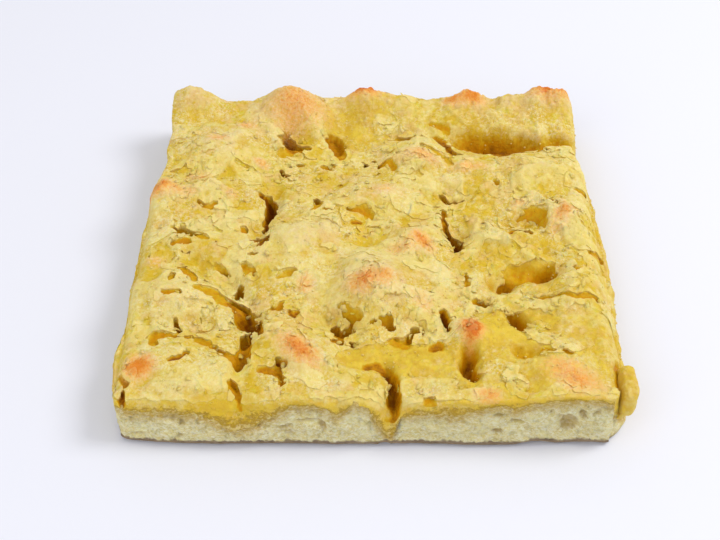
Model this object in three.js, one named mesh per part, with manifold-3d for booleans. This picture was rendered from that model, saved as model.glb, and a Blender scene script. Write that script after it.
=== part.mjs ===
// A square of butter cake: flat yeast dough pressed full of finger holes, baked with butter and sugar.
// The dough is pale and open. Over it runs a golden topping of butter and sugar, which dips into every
// hole, and on the topping lie brittle plates of dried sugar that have cracked and lifted.
// The front and the left side are knife cuts, and the back and the right side are the baked rim.
// Millimetres, +Z up, origin at the middle of the underside, the cut front towards -Y.

import * as THREE from "three";
import { mergeVertices } from "three/addons/utils/BufferGeometryUtils.js";
import Module from "manifold-3d";

const CAKE = { width: 151, depth: 148, level: 17.5, lowest: 4.5, cornerRadius: 4.5 };
const CUT_EDGE_RADIUS = 3;
const RIM_EDGE_RADIUS = 6.5;

// Fine cells along each side of the topping, and how many of them make one cell of the hidden face
// between topping and dough. Cells are narrower near the sides by edgeCrowding.
const GRID = { cells: 46, hiddenStep: 2, edgeCrowding: 0.1 };

// Finger holes and torn troughs: middle, half length, half width, turn in degrees, depth.
const HOLES = [
  { at: [-34, 14], half: [8, 4], turn: 85, depth: 11 },
  { at: [-37, 0], half: [7, 4], turn: 80, depth: 9 },
  { at: [-43, -28], half: [9, 4], turn: -50, depth: 9 },
  { at: [-38, -43], half: [9, 4], turn: 85, depth: 9 },
  { at: [-39, -61], half: [9, 3], turn: 90, depth: 6 },
  { at: [-28, 51], half: [7, 5], turn: -35, depth: 10 },
  { at: [-13, 51], half: [10, 5], turn: 75, depth: 7 },
  { at: [2, 39], half: [7, 3], turn: 10, depth: 4 },
  { at: [12, 50], half: [5, 3.5], turn: 20, depth: 4 },
  { at: [46, 51], half: [16, 4.5], turn: -4, depth: 10 },
  { at: [67, 48], half: [9, 4], turn: 0, depth: 5 },
  { at: [28, 19], half: [5, 3.5], turn: 0, depth: 8 },
  { at: [28, -1], half: [8, 4.5], turn: 75, depth: 11 },
  { at: [50, 5], half: [8, 3.5], turn: 8, depth: 5 },
  { at: [55, -14], half: [7, 4.5], turn: 15, depth: 8 },
  { at: [42, -19], half: [6, 4.5], turn: 25, depth: 10 },
  { at: [34, -30], half: [4.5, 4], turn: 0, depth: 6 },
  { at: [48, -37], half: [5.5, 4.5], turn: 90, depth: 7 },
  { at: [46, -51], half: [6, 4.5], turn: 0, depth: 4 },
  { at: [29, -53], half: [7, 4], turn: 88, depth: 10 },
  { at: [5, -66], half: [10, 3.6], turn: -70, depth: 13 },
  { at: [15, -69], half: [5, 3.5], turn: 0, depth: 5 },
  { at: [-10, -42], half: [8, 3.5], turn: -22, depth: 8 },
  { at: [12, -45], half: [11, 3.5], turn: -8, depth: 6 },
  { at: [22, -37], half: [6, 2.5], turn: 85, depth: 7 },
  { at: [-62, -2], half: [5, 3.5], turn: 10, depth: 7 },
  { at: [-57, -17], half: [6, 3], turn: -55, depth: 5 },
  { at: [-55, -44], half: [12, 3], turn: -6, depth: 5 },
  { at: [-27, -60], half: [6, 3], turn: -65, depth: 5 },
  { at: [-19, 17], half: [4, 3.5], turn: 0, depth: 5 },
];

// Puffed mounds between the holes: middle, half length, half width, turn in degrees, rise.
const MOUNDS = [
  { at: [-29, 64], half: [14, 12], turn: 10, rise: 10.7 },
  { at: [-67, 69], half: [10, 9], turn: 0, rise: 9 },
  { at: [-55, 43], half: [17, 13], turn: 50, rise: 6 },
  { at: [-2, 69], half: [10, 7], turn: 0, rise: 8.5 },
  { at: [36, 69], half: [9, 8], turn: 0, rise: 8.5 },
  { at: [65, 68], half: [11, 9], turn: 0, rise: 10.2 },
  { at: [0, 68], half: [90, 8], turn: 0, rise: 4 },
  { at: [44, 62], half: [26, 7], turn: 6, rise: 4.5 },
  { at: [-70, 16], half: [7, 9], turn: 0, rise: 5 },
  { at: [-57, 18], half: [11, 8], turn: 30, rise: 4 },
  { at: [-20, -7], half: [19, 11], turn: 45, rise: 6 },
  { at: [2, -28], half: [16, 13], turn: -20, rise: 8 },
  { at: [14, -5], half: [12, 11], turn: 0, rise: 5.5 },
  { at: [3, 18], half: [15, 9], turn: 15, rise: 5 },
  { at: [15, 34], half: [13, 9], turn: -30, rise: 5 },
  { at: [48, 31], half: [22, 9], turn: -5, rise: 4.5 },
  { at: [64, 7], half: [9, 13], turn: 10, rise: 5 },
  { at: [47, -5], half: [13, 5], turn: 5, rise: 4 },
  { at: [65, -29], half: [8, 12], turn: 0, rise: 3.5 },
  { at: [31, -45], half: [6, 6], turn: 0, rise: 5 },
  { at: [58, -62], half: [16, 9], turn: -8, rise: 4.5 },
  { at: [-24, -52], half: [13, 9], turn: -35, rise: 5.5 },
  { at: [-62, -32], half: [13, 10], turn: 0, rise: 4.5 },
  { at: [-54, -10], half: [13, 8], turn: -30, rise: 4 },
  { at: [-66, -59], half: [12, 9], turn: 0, rise: 3.5 },
];

// Where the smooth topping shows with no sugar plates: middle, half length, half width, turn.
const BARE = [
  { at: [-58, 66], half: [20, 12], turn: 0 },
  { at: [-30, 64], half: [13, 11], turn: 20 },
  { at: [-4, 59], half: [14, 15], turn: 0 },
  { at: [44, 63], half: [34, 12], turn: 3 },
  { at: [10, -57], half: [22, 7], turn: -3 },
  { at: [56, -49], half: [24, 15], turn: 0 },
  { at: [49, -16], half: [12, 6], turn: 18 },
  { at: [-68, -61], half: [9, 13], turn: 0 },
  { at: [-45, -69], half: [24, 5], turn: 0 },
];

const RELIEF = { broad: 1.3, broadLength: 17, fine: 0.7, fineLength: 6.5 };
const WANDER = { size: 0.5, length: 9, atFront: 0.4 };

// How far the left and the right side stand out beyond the even square, at places spaced evenly
// from front to back.
const SIDES = {
  left: [0.6, 2, 0.8, 1.6, 1.3, 0.6, -1.2, -1.4, -2],
  right: [-0.8, 1, 1.4, 2.4, 2.2, 1.4, -1.2, -1, -1.4],
};

// Nicks in those sides: side, place along it, half width, depth.
const NICKS = [
  { side: "left", at: 47, half: 8, depth: 1.2 },
  { side: "right", at: 45, half: 7, depth: 1.8 },
  { side: "right", at: -68, half: 8, depth: 2 },
];

// The hidden gap between topping and dough, how far fusing may shift a surface (less than the gap),
// and the step at which the topping's top is sampled for its lowest point.
const GAP = 0.3;
const FLAT_ENOUGH = 0.15;
const SAMPLE = 1.5;

// The topping's lower edge lies at one height on a cut and at another on the rim, and it wavers. Its
// thickness is kept over the lowest point within a reach, at the sides and over the hidden face.
const TOPPING = { cutEdge: 14.2, rimEdge: 3.6, waver: 1.1, waverLength: 14, rows: 2 };
const THICKNESS = { least: 1.4, sideReach: 4.5, hiddenReach: 5.6 };

// The dough bulges on the rim, is rough on the cuts, and lifts off the board along its sides.
const DOUGH = { rows: 2, rimBulge: 1.3, cutRoughness: 0.5, roughLength: 5, flatShare: 0.91 };
const LIFT = { height: 1, length: 19 };

// The tongue of topping that has peeled from the rim at the right front corner.
const TONGUE = { at: [76, -64, 11], half: [3.5, 9.5, 7.4], lean: 8, slices: 12, stacks: 8 };
const FOOT = { at: -66, half: 8, height: 4.5, reach: 3.2 };

const PLATES = { spacing: 19, jitter: 0.42, corners: 7, thickness: 1, gap: 0.5, least: 4, most: 10.5 };
const PLATE_LIFT = { middle: 0.35, rim: 0.55, curl: 1.1 };

const radians = THREE.MathUtils.degToRad;
const mix = THREE.MathUtils.lerp;

// A repeatable number from 0 to 1 for a pair of whole numbers and a seed.
function chance(i, j, seed) {
  const s = Math.sin(i * 127.1 + j * 311.7 + seed * 74.7) * 43758.5453;
  return s - Math.floor(s);
}

// Smooth noise from -1 to 1 whose bumps are about one length across.
function noise(x, y, length, seed) {
  const u = x / length;
  const v = y / length;
  const i = Math.floor(u);
  const j = Math.floor(v);
  const a = THREE.MathUtils.smoothstep(u - i, 0, 1);
  const b = THREE.MathUtils.smoothstep(v - j, 0, 1);
  const near = mix(chance(i, j, seed), chance(i + 1, j, seed), a);
  const far = mix(chance(i, j + 1, seed), chance(i + 1, j + 1, seed), a);
  return 2 * mix(near, far, b) - 1;
}

// How far a point is from the middle of a turned ellipse, where 1 is on its edge.
function reachOf(shape, x, y) {
  const turn = radians(shape.turn);
  const dx = x - shape.at[0];
  const dy = y - shape.at[1];
  const along = (dx * Math.cos(turn) + dy * Math.sin(turn)) / shape.half[0];
  const across = (dy * Math.cos(turn) - dx * Math.sin(turn)) / shape.half[1];
  return Math.hypot(along, across);
}

// Joins overlapping bumps so that the larger wins and they don't pile up.
function blended(values) {
  return Math.cbrt(values.reduce((sum, v) => sum + v ** 3, 0));
}

function holeDepth(x, y) {
  return blended(HOLES.map((hole) => hole.depth * Math.exp(-(reachOf(hole, x, y) ** 3))));
}

function moundRise(x, y) {
  return blended(MOUNDS.map((mound) => mound.rise * Math.exp(-(reachOf(mound, x, y) ** 2))));
}

// The fall of the rounded edge at a distance in from the side.
function edgeFall(inFromSide, radius) {
  const left = THREE.MathUtils.clamp(radius - inFromSide, 0, radius);
  return radius - Math.sqrt(radius ** 2 - left ** 2);
}

// 1 on the baked rim at the back and right, 0 on the cuts at the front and left.
function rimShare(x, y) {
  const right = CAKE.width / 2 - x;
  const back = CAKE.depth / 2 - y;
  const left = CAKE.width / 2 + x;
  const front = CAKE.depth / 2 + y;
  return THREE.MathUtils.smoothstep(Math.min(left, front) - Math.min(right, back), -6, 6);
}

function toppingTop(x, y) {
  const bumps = RELIEF.broad * noise(x, y, RELIEF.broadLength, 3) + RELIEF.fine * noise(x, y, RELIEF.fineLength, 5);
  const open = CAKE.level + moundRise(x, y) + bumps - holeDepth(x, y);
  const inFromSide = Math.min(CAKE.width / 2 - Math.abs(x), CAKE.depth / 2 - Math.abs(y));
  const radius = mix(CUT_EDGE_RADIUS, RIM_EDGE_RADIUS, rimShare(x, y));
  return Math.max(CAKE.lowest, open - edgeFall(inFromSide, radius));
}

// The lowest point of the topping's top within a distance.
function lowestNear(x, y, reach) {
  let lowest = Infinity;
  for (let dy = -reach; dy <= reach; dy += SAMPLE) {
    for (let dx = -reach; dx <= reach; dx += SAMPLE) {
      if (Math.hypot(dx, dy) <= reach) lowest = Math.min(lowest, toppingTop(x + dx, y + dy));
    }
  }
  return lowest;
}

// How far a side stands out at a place along it, read smoothly between the named values.
function sideShift(side, y) {
  const values = SIDES[side];
  const place = THREE.MathUtils.clamp(y / CAKE.depth + 0.5, 0, 1) * (values.length - 1);
  const k = Math.min(Math.floor(place), values.length - 2);
  const named = mix(values[k], values[k + 1], THREE.MathUtils.smoothstep(place - k, 0, 1));
  const nicks = NICKS.filter((n) => n.side === side).map((n) => n.depth * Math.exp(-(((y - n.at) / n.half) ** 4)));
  return nicks.reduce((sum, depth) => sum - depth, named);
}

function wander(along, seed) {
  return WANDER.size * noise(along, seed, WANDER.length, seed);
}

// A point of the unit square's edge, with the corners rounded.
function roundedSquare(s, t) {
  const c = (2 * CAKE.cornerRadius) / CAKE.width;
  const a = Math.abs(s);
  const b = Math.abs(t);
  const least = Math.min(a, b);
  if (least <= 1 - c) return [s, t];
  const turn = (((least - (1 - c)) / c) * Math.PI) / 4;
  const long = 1 - c + c * Math.cos(turn);
  const short = 1 - c + c * Math.sin(turn);
  return a > b ? [Math.sign(s) * long, Math.sign(t) * short] : [Math.sign(s) * short, Math.sign(t) * long];
}

// The place in plan of a point of the square from -1 to 1 each way.
function plan(s, t) {
  const ring = Math.max(Math.abs(s), Math.abs(t));
  if (ring === 0) return [0, 0];
  const [edgeS, edgeT] = roundedSquare(s / ring, t / ring);
  const share = ring ** 4;
  const x = (mix(s, edgeS * ring, share) * CAKE.width) / 2;
  const y = (mix(t, edgeT * ring, share) * CAKE.depth) / 2;
  const outX = s > 0 ? wander(y, 11) + sideShift("right", y) : wander(y, 17) + sideShift("left", y);
  const outY = t > 0 ? wander(x, 23) : WANDER.atFront * wander(x, 29);
  return [x + Math.sign(s) * Math.abs(s) ** 8 * outX, y + Math.sign(t) * Math.abs(t) ** 8 * outY];
}

function crowded(share) {
  const s = 2 * share - 1;
  return s * (1 + GRID.edgeCrowding * (1 - s * s));
}

// Points and triangles collected into one closed surface.
class Surface {
  points = [];
  triangles = [];

  point(x, y, z) {
    this.points.push(x, y, z);
    return this.points.length / 3 - 1;
  }

  triangle(a, b, c) {
    this.triangles.push(a, b, c);
  }

  quad(a, b, c, d) {
    this.triangle(a, b, c);
    this.triangle(a, c, d);
  }

  // A grid of points, rows along x, facing up, or down if flipped.
  grid(rows, flipped) {
    for (let j = 0; j + 1 < rows.length; j++) {
      for (let i = 0; i + 1 < rows[j].length; i++) {
        const [a, b, c, d] = [rows[j][i], rows[j][i + 1], rows[j + 1][i + 1], rows[j + 1][i]];
        if (flipped) this.quad(a, d, c, b);
        else this.quad(a, b, c, d);
      }
    }
  }

  // A band between two closed rings of equal length, the upper one first, facing out.
  band(upper, lower) {
    upper.forEach((a, k) => {
      const next = (k + 1) % upper.length;
      this.quad(a, lower[k], lower[next], upper[next]);
    });
  }

  // A flat-lying band between a closed outer ring and an inner one with fewer points, facing up.
  stitch(outer, inner, flipped) {
    let o = 0;
    let i = 0;
    while (o < outer.length || i < inner.length) {
      const a = outer[o % outer.length];
      const b = inner[i % inner.length];
      const outerTurn = (o + 1) / outer.length <= (i + 1) / inner.length;
      const c = outerTurn ? outer[(o + 1) % outer.length] : inner[(i + 1) % inner.length];
      if (flipped) this.triangle(a, b, c);
      else this.triangle(a, c, b);
      if (outerTurn) o++;
      else i++;
    }
  }

  geometry() {
    const made = new THREE.BufferGeometry();
    made.setAttribute("position", new THREE.Float32BufferAttribute(this.points, 3));
    made.setIndex(this.triangles);
    return made;
  }
}

// The points round the edge of a grid of rows, counterclockwise from the front left corner.
function ringOf(rows) {
  const last = rows.length - 1;
  const wide = rows[0].length - 1;
  return [
    ...rows[0].slice(0, wide),
    ...rows.slice(0, last).map((row) => row[wide]),
    ...rows[last].slice(1).reverse(),
    ...rows.slice(1).map((row) => row[0]).reverse(),
  ];
}

function gridOf(count, make) {
  const steps = [...Array(count + 1).keys()];
  return steps.map((j) => steps.map((i) => make(crowded(i / count), crowded(j / count), i, j)));
}

// The side of the cake in plan, point by point, with the direction that faces out.
function outline() {
  const places = ringOf(gridOf(GRID.cells, (s, t) => plan(s, t)));
  return places.map(([x, y], k) => {
    const [ax, ay] = places[(k + places.length - 1) % places.length];
    const [bx, by] = places[(k + 1) % places.length];
    const length = Math.hypot(bx - ax, by - ay);
    return { x, y, out: [(by - ay) / length, (ax - bx) / length], rim: rimShare(x, y) };
  });
}

// The height at which topping meets dough on the side.
function seamHeight({ x, y, rim }) {
  const waver = TOPPING.waver * noise(x, y, TOPPING.waverLength, 41);
  const edge = mix(TOPPING.cutEdge, TOPPING.rimEdge, rim) + waver;
  return Math.min(edge, lowestNear(x, y, THICKNESS.sideReach) - THICKNESS.least);
}

// How far the side stands out at a height.
function sideReach({ x, y, rim }, z) {
  const share = THREE.MathUtils.clamp(z / TOPPING.cutEdge, 0, 1);
  const bulge = DOUGH.rimBulge * Math.sin(Math.PI * share);
  const rough = DOUGH.cutRoughness * noise(x + y, z * 2, DOUGH.roughLength, 47) * Math.sin(Math.PI * share);
  const atFoot = x > 0 ? Math.exp(-(((y - FOOT.at) / FOOT.half) ** 4)) : 0;
  const foot = FOOT.reach * atFoot * rim * (1 - THREE.MathUtils.smoothstep(z, FOOT.height / 2, FOOT.height));
  return mix(rough, bulge, rim) + foot;
}

function sidePoint(surface, place, z, shift) {
  const reach = sideReach(place, z);
  return surface.point(place.x + place.out[0] * reach, place.y + place.out[1] * reach, z + shift);
}

function hiddenHeight(x, y) {
  return lowestNear(x, y, THICKNESS.hiddenReach) - THICKNESS.least;
}

// The hidden face between topping and dough, shifted by a height, facing up or, if flipped, down.
function addSeam(surface, sides, shift, flipped) {
  const coarse = GRID.cells / GRID.hiddenStep;
  const inner = gridOf(coarse, (s, t) => plan(s, t))
    .slice(1, -1)
    .map((row) => row.slice(1, -1))
    .map((row) => row.map(([x, y]) => surface.point(x, y, hiddenHeight(x, y) + shift)));
  const ring = sides.map((place) => sidePoint(surface, place, seamHeight(place), shift));
  surface.grid(inner, flipped);
  surface.stitch(ring, ringOf(inner), flipped);
  return ring;
}

function toppingSurface(sides) {
  const surface = new Surface();
  const top = gridOf(GRID.cells, (s, t) => {
    const [x, y] = plan(s, t);
    return surface.point(x, y, toppingTop(x, y));
  });
  const seam = addSeam(surface, sides, 0, true);
  surface.grid(top, false);
  let upper = ringOf(top);
  for (let row = 1; row < TOPPING.rows; row++) {
    const middle = sides.map((place) =>
      sidePoint(surface, place, mix(toppingTop(place.x, place.y), seamHeight(place), row / TOPPING.rows), 0),
    );
    surface.band(upper, middle);
    upper = middle;
  }
  surface.band(upper, seam);
  return surface;
}

// The underside lifts a little off the board along the sides and is flat further in.
function footHeight({ x, y }) {
  return (LIFT.height * (1 + noise(x, y, LIFT.length, 53))) / 2;
}

function doughSurface(sides) {
  const surface = new Surface();
  let upper = addSeam(surface, sides, -GAP, false);
  for (let row = 1; row <= DOUGH.rows; row++) {
    const lower = sides.map((place) =>
      sidePoint(surface, place, mix(seamHeight(place) - GAP, footHeight(place), row / DOUGH.rows), 0),
    );
    surface.band(upper, lower);
    upper = lower;
  }
  const coarse = GRID.cells / GRID.hiddenStep;
  const flat = ringOf(gridOf(coarse, (s, t) => plan(s * DOUGH.flatShare, t * DOUGH.flatShare)));
  const ring = flat.map(([x, y]) => surface.point(x, y, 0));
  surface.stitch(upper, ring, true);
  const corners = flat.map(([x, y]) => new THREE.Vector2(x, y));
  for (const [a, b, c] of THREE.ShapeUtils.triangulateShape(corners, [])) {
    surface.triangle(ring[a], ring[c], ring[b]);
  }
  return surface;
}

// How much of the sugar layer is left at a point: below 0 the smooth topping shows.
function sugarCover(x, y) {
  const bare = Math.min(...BARE.map((zone) => reachOf(zone, x, y)));
  const hole = Math.min(...HOLES.map((h) => reachOf(h, x, y)));
  return Math.min(bare - 1, (hole - 0.85) * 0.8) + 0.2 * noise(x, y, 7, 61);
}

// The middles of the sugar plates, on a jittered honeycomb.
function plateSeeds() {
  const rowHeight = PLATES.spacing * Math.sqrt(0.75);
  const rows = Math.ceil(CAKE.depth / 2 / rowHeight);
  const columns = Math.ceil(CAKE.width / 2 / PLATES.spacing);
  const seeds = [];
  for (let j = -rows; j <= rows; j++) {
    for (let i = -columns; i <= columns; i++) {
      const shift = j % 2 ? 0.5 : 0;
      const x = (i + shift + PLATES.jitter * (2 * chance(i, j, 67) - 1)) * PLATES.spacing;
      const y = j * rowHeight + PLATES.jitter * PLATES.spacing * (2 * chance(i, j, 71) - 1);
      seeds.push({ x, y, id: seeds.length });
    }
  }
  return seeds;
}

// How far the plate of a seed reaches in one direction before a crack, a hole or bare topping.
function plateReach(seed, seeds, turn) {
  const dx = Math.cos(turn);
  const dy = Math.sin(turn);
  const ragged = 1 + 0.16 * (2 * chance(seed.id, Math.round(turn * 10), 73) - 1);
  let reach = 1;
  while (reach < PLATES.most * ragged) {
    const x = seed.x + reach * dx;
    const y = seed.y + reach * dy;
    const crossed = seeds.some((other) => Math.hypot(x - other.x, y - other.y) < reach - PLATES.gap);
    const outside = Math.abs(x) > CAKE.width / 2 - 1.5 || Math.abs(y) > CAKE.depth / 2 - 1.5;
    if (crossed || outside || sugarCover(x, y) < 0) break;
    reach += 0.5;
  }
  return reach;
}

// The height that a stiff plate lies at, bridging small hollows.
function bridgeHeight(x, y) {
  const around = [[3, 0], [-3, 0], [0, 3], [0, -3]].map(([dx, dy]) => toppingTop(x + dx, y + dy));
  return Math.max(toppingTop(x, y), around.reduce((a, b) => a + b) / around.length);
}

// One brittle plate: a fan of triangles from its middle, with its rim lifted and uneven.
function plateGeometry(seed, seeds) {
  const surface = new Surface();
  const rim = [];
  for (let k = 0; k < PLATES.corners; k++) {
    const turn = ((k + 0.5 * chance(seed.id, k, 79)) / PLATES.corners) * 2 * Math.PI;
    const reach = plateReach(seed, seeds, turn);
    const x = seed.x + reach * Math.cos(turn);
    const y = seed.y + reach * Math.sin(turn);
    const lift = PLATE_LIFT.rim + PLATE_LIFT.curl * chance(seed.id, k, 83);
    rim.push({ x, y, z: bridgeHeight(x, y) + lift, reach });
  }
  const mean = rim.reduce((sum, r) => sum + r.reach, 0) / rim.length;
  if (mean < PLATES.least) return null;
  const middle = bridgeHeight(seed.x, seed.y) + PLATE_LIFT.middle;
  const top = surface.point(seed.x, seed.y, middle);
  const bottom = surface.point(seed.x, seed.y, middle - PLATES.thickness);
  const upper = rim.map((r) => surface.point(r.x, r.y, r.z));
  const lower = rim.map((r) => surface.point(r.x, r.y, r.z - PLATES.thickness));
  surface.band(upper, lower);
  upper.forEach((a, k) => {
    const next = (k + 1) % upper.length;
    surface.triangle(top, a, upper[next]);
    surface.triangle(bottom, lower[next], lower[k]);
  });
  return surface.geometry();
}

// The peeled tongue of topping: a leaning, flattened ball, larger all round by an allowance.
function tongueGeometry(allowance) {
  const made = new THREE.SphereGeometry(1, TONGUE.slices, TONGUE.stacks);
  made.scale(...TONGUE.half.map((half) => half + allowance));
  made.rotateY(radians(TONGUE.lean));
  made.translate(...TONGUE.at);
  return made;
}

const wasm = await Module();
wasm.setup();

function solidOf(geometry) {
  const bare = new THREE.BufferGeometry();
  bare.setAttribute("position", geometry.getAttribute("position"));
  bare.setIndex(geometry.index);
  const merged = mergeVertices(bare, 1e-4);
  return new wasm.Manifold(
    new wasm.Mesh({
      numProp: 3,
      vertProperties: merged.attributes.position.array,
      triVerts: new Uint32Array(merged.index.array),
    }),
  );
}

function geometryOf(solid) {
  const mesh = solid.getMesh();
  const made = new THREE.BufferGeometry();
  made.setAttribute("position", new THREE.BufferAttribute(mesh.vertProperties, 3));
  made.setIndex(new THREE.BufferAttribute(mesh.triVerts, 1));
  return made;
}

// Fuses small pieces to a body. The largest shell of the result has no sealed hollows or loose scraps.
function fused(body, pieces) {
  const joined = pieces.reduce((sum, piece) => sum.add(solidOf(piece)), solidOf(body)).simplify(FLAT_ENOUGH);
  return joined.decompose().sort((a, b) => b.volume() - a.volume())[0];
}

const crumbMaterial = new THREE.MeshStandardMaterial({ color: 0xf0e6c2, roughness: 0.95, metalness: 0 });
const toppingMaterial = new THREE.MeshStandardMaterial({ color: 0xe6c35c, roughness: 0.55, metalness: 0 });

function named(name, geometry, material) {
  const mesh = new THREE.Mesh(geometry, material);
  mesh.name = name;
  return mesh;
}

const sides = outline();
const seeds = plateSeeds();
const plates = seeds
  .filter((seed) => sugarCover(seed.x, seed.y) > 0)
  .map((seed) => plateGeometry(seed, seeds))
  .filter((plate) => plate !== null);

const dough = solidOf(doughSurface(sides).geometry()).subtract(solidOf(tongueGeometry(3 * GAP)));
const topping = fused(toppingSurface(sides).geometry(), [tongueGeometry(0), ...plates]);

const cake = new THREE.Group();
cake.add(named("yeast_dough", geometryOf(dough), crumbMaterial));
cake.add(named("butter_sugar_topping", geometryOf(topping), toppingMaterial));

export default cake;
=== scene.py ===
import math

import bpy
import numpy as np
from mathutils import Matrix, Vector


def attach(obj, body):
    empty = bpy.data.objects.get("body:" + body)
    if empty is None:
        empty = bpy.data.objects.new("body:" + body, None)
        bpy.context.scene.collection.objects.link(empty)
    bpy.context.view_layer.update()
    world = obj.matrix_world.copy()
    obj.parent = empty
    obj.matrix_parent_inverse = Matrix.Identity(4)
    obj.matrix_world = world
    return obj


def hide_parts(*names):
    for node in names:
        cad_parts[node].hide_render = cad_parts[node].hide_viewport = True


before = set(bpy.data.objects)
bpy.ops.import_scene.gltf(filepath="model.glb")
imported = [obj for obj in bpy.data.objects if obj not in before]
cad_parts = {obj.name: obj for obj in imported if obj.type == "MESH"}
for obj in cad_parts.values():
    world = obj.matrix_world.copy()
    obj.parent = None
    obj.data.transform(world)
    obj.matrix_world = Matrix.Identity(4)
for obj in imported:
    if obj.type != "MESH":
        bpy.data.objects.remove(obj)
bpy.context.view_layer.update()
mm = 0.001


# the cake in millimetres, with its origin under its middle and its cut front towards -Y
cake = dict(width=151, depth=148, level=17.5, lowest=4.5, cornerRadius=4.5, cutRadius=3, rimRadius=6.5)


def spots(keys, rows):  # one dictionary for each row
    return [dict(zip(keys.split(), row)) for row in rows]


# finger holes and torn troughs: middle, half length and width, turn in degrees, depth, whether the film
# spans the hole, and how far out its moist lining starts
holes = spots("at half turn depth spanned wet", [
    ((-34, 14), (8, 4), 85, 9.5, True),
    ((-37, 0), (7, 4), 80, 7.5, True),
    ((-43, -28), (9, 4), -50, 7.5, True),
    ((-38, -43), (9, 4), 85, 7.5, True),
    ((-39, -61), (9, 3), 90, 5, True),
    ((-28, 51), (7, 5), -35, 8.5, True),
    ((-13, 51), (10, 5), 75, 6, True),
    ((2, 39), (7, 3), 10, 4, True),
    ((12, 50), (5, 3.5), 20, 4, True),
    ((46, 48.8), (16, 4.8), -4, 8.5, False, 0.95),
    ((67, 48), (9, 4), 0, 4),
    ((28, 19), (5, 3.5), 0, 7, True),
    ((28, -1), (8, 4.5), 75, 9.5, True),
    ((50, 5), (8, 3.5), 8, 4, True),
    ((56.5, -19), (6, 3.6), 15, 7),
    ((43, -23), (5.5, 3.6), 25, 7.5),
    ((49, -18), (7, 4), 12, 4),
    ((35.5, -33), (3.2, 2.8), 0, 3.5, True),
    ((46, -39), (6.5, 2.8), -62, 6),
    ((47, -54), (4.5, 3.6), 0, 3.2),
    ((29.6, -58), (6.5, 2.5), 96, 7.5),
    ((6, -67), (8.5, 2.3), -80, 8),
    ((15, -69), (5, 3.5), 0, 4, True),
    ((-10, -42), (8, 3.5), -22, 7, True),
    ((12, -45), (11, 3.5), -8, 5, True),
    ((22.5, -42), (4.5, 1.5), 95, 6, True),
    ((-62, -2), (5, 3.5), 10, 6, True),
    ((-57, -17), (6, 3), -55, 4, True),
    ((-55, -44), (12, 3), -6, 4, True),
    ((-27, -60), (6, 3), -65, 4, True),
    ((-19, 17), (4, 3.5), 0, 4, True),
])

# puffed mounds: middle, half length, half width, turn in degrees, rise
mounds = spots("at half turn rise", [
    ((-29, 64), (14, 12), 10, 10.4),
    ((-67, 69), (10, 9), 0, 9),
    ((-55, 43), (17, 13), 50, 6),
    ((-2, 69), (10, 7), 0, 8.5),
    ((36, 69), (9, 8), 0, 8.5),
    ((61, 70), (8, 8), 0, 8.2),
    ((69, 70), (8, 8), 0, 8.2),
    ((51, 70), (8, 7), 0, 7.6),
    ((0, 68), (90, 8), 0, 4),
    ((44, 62), (26, 7), 6, 4.5),
    ((-70, 16), (7, 9), 0, 5),
    ((-57, 18), (11, 8), 30, 4),
    ((-20, -7), (19, 11), 45, 6),
    ((2, -28), (16, 13), -20, 8),
    ((14, -5), (12, 11), 0, 5.5),
    ((3, 18), (15, 9), 15, 5),
    ((15, 34), (13, 9), -30, 5),
    ((48, 31), (22, 9), -5, 4.5),
    ((64, 7), (9, 13), 10, 5),
    ((47, -5), (13, 5), 5, 4),
    ((65, -29), (8, 12), 0, 3.5),
    ((31, -46.5), (6, 6), 0, 5),
    ((58, -62), (16, 9), -8, 4.5),
    ((-24, -52), (13, 9), -35, 5.5),
    ((-62, -32), (13, 10), 0, 4.5),
    ((-54, -10), (13, 8), -30, 4),
    ((-66, -59), (12, 9), 0, 3.5),
])

# places without loose film: middle, half length, half width, turn, how dry their crust is, and how grainy
bareZones = spots("at half turn dry grain", [
    ((-58, 66), (20, 12), 0, 1, 0.8),
    ((-30, 64), (13, 11), 20, 0.8),
    ((-4, 59), (14, 15), 0, 0.45, 2.3),
    ((46, 61), (33, 17), 2, 0.9, 1.9),
    ((10, -57), (22, 7), -3, 0.2),
    ((47, -46), (15, 11), 0, 0.12),
    ((37, -61), (21, 13), 0, 0.35),
    ((66, -52), (12, 18), 0, 0.5),
    ((6.6, -73), (2.6, 5.5), 0, 0.1),
    ((50, -18), (10, 4.5), 18, 0.3),
])

# pieces of film left in those places
islands = spots("at half turn", [
    ((43.5, -68.5), (2.6, 3.6), 10),
    ((53.3, -48.5), (4.6, 2), -25),
    ((58.8, -54), (4.2, 2.2), 0),
    ((51, -42.8), (3, 2.2), 20),
    ((38.2, -61.5), (4.8, 1.8), -15),
    ((19.5, -67), (4.8, 2.6), 8),
    ((26, -71), (5.4, 2.2), -5),
    ((4.5, 57), (4.5, 4), 0),
    ((11, 63), (3.5, 3), 30),
])

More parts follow.
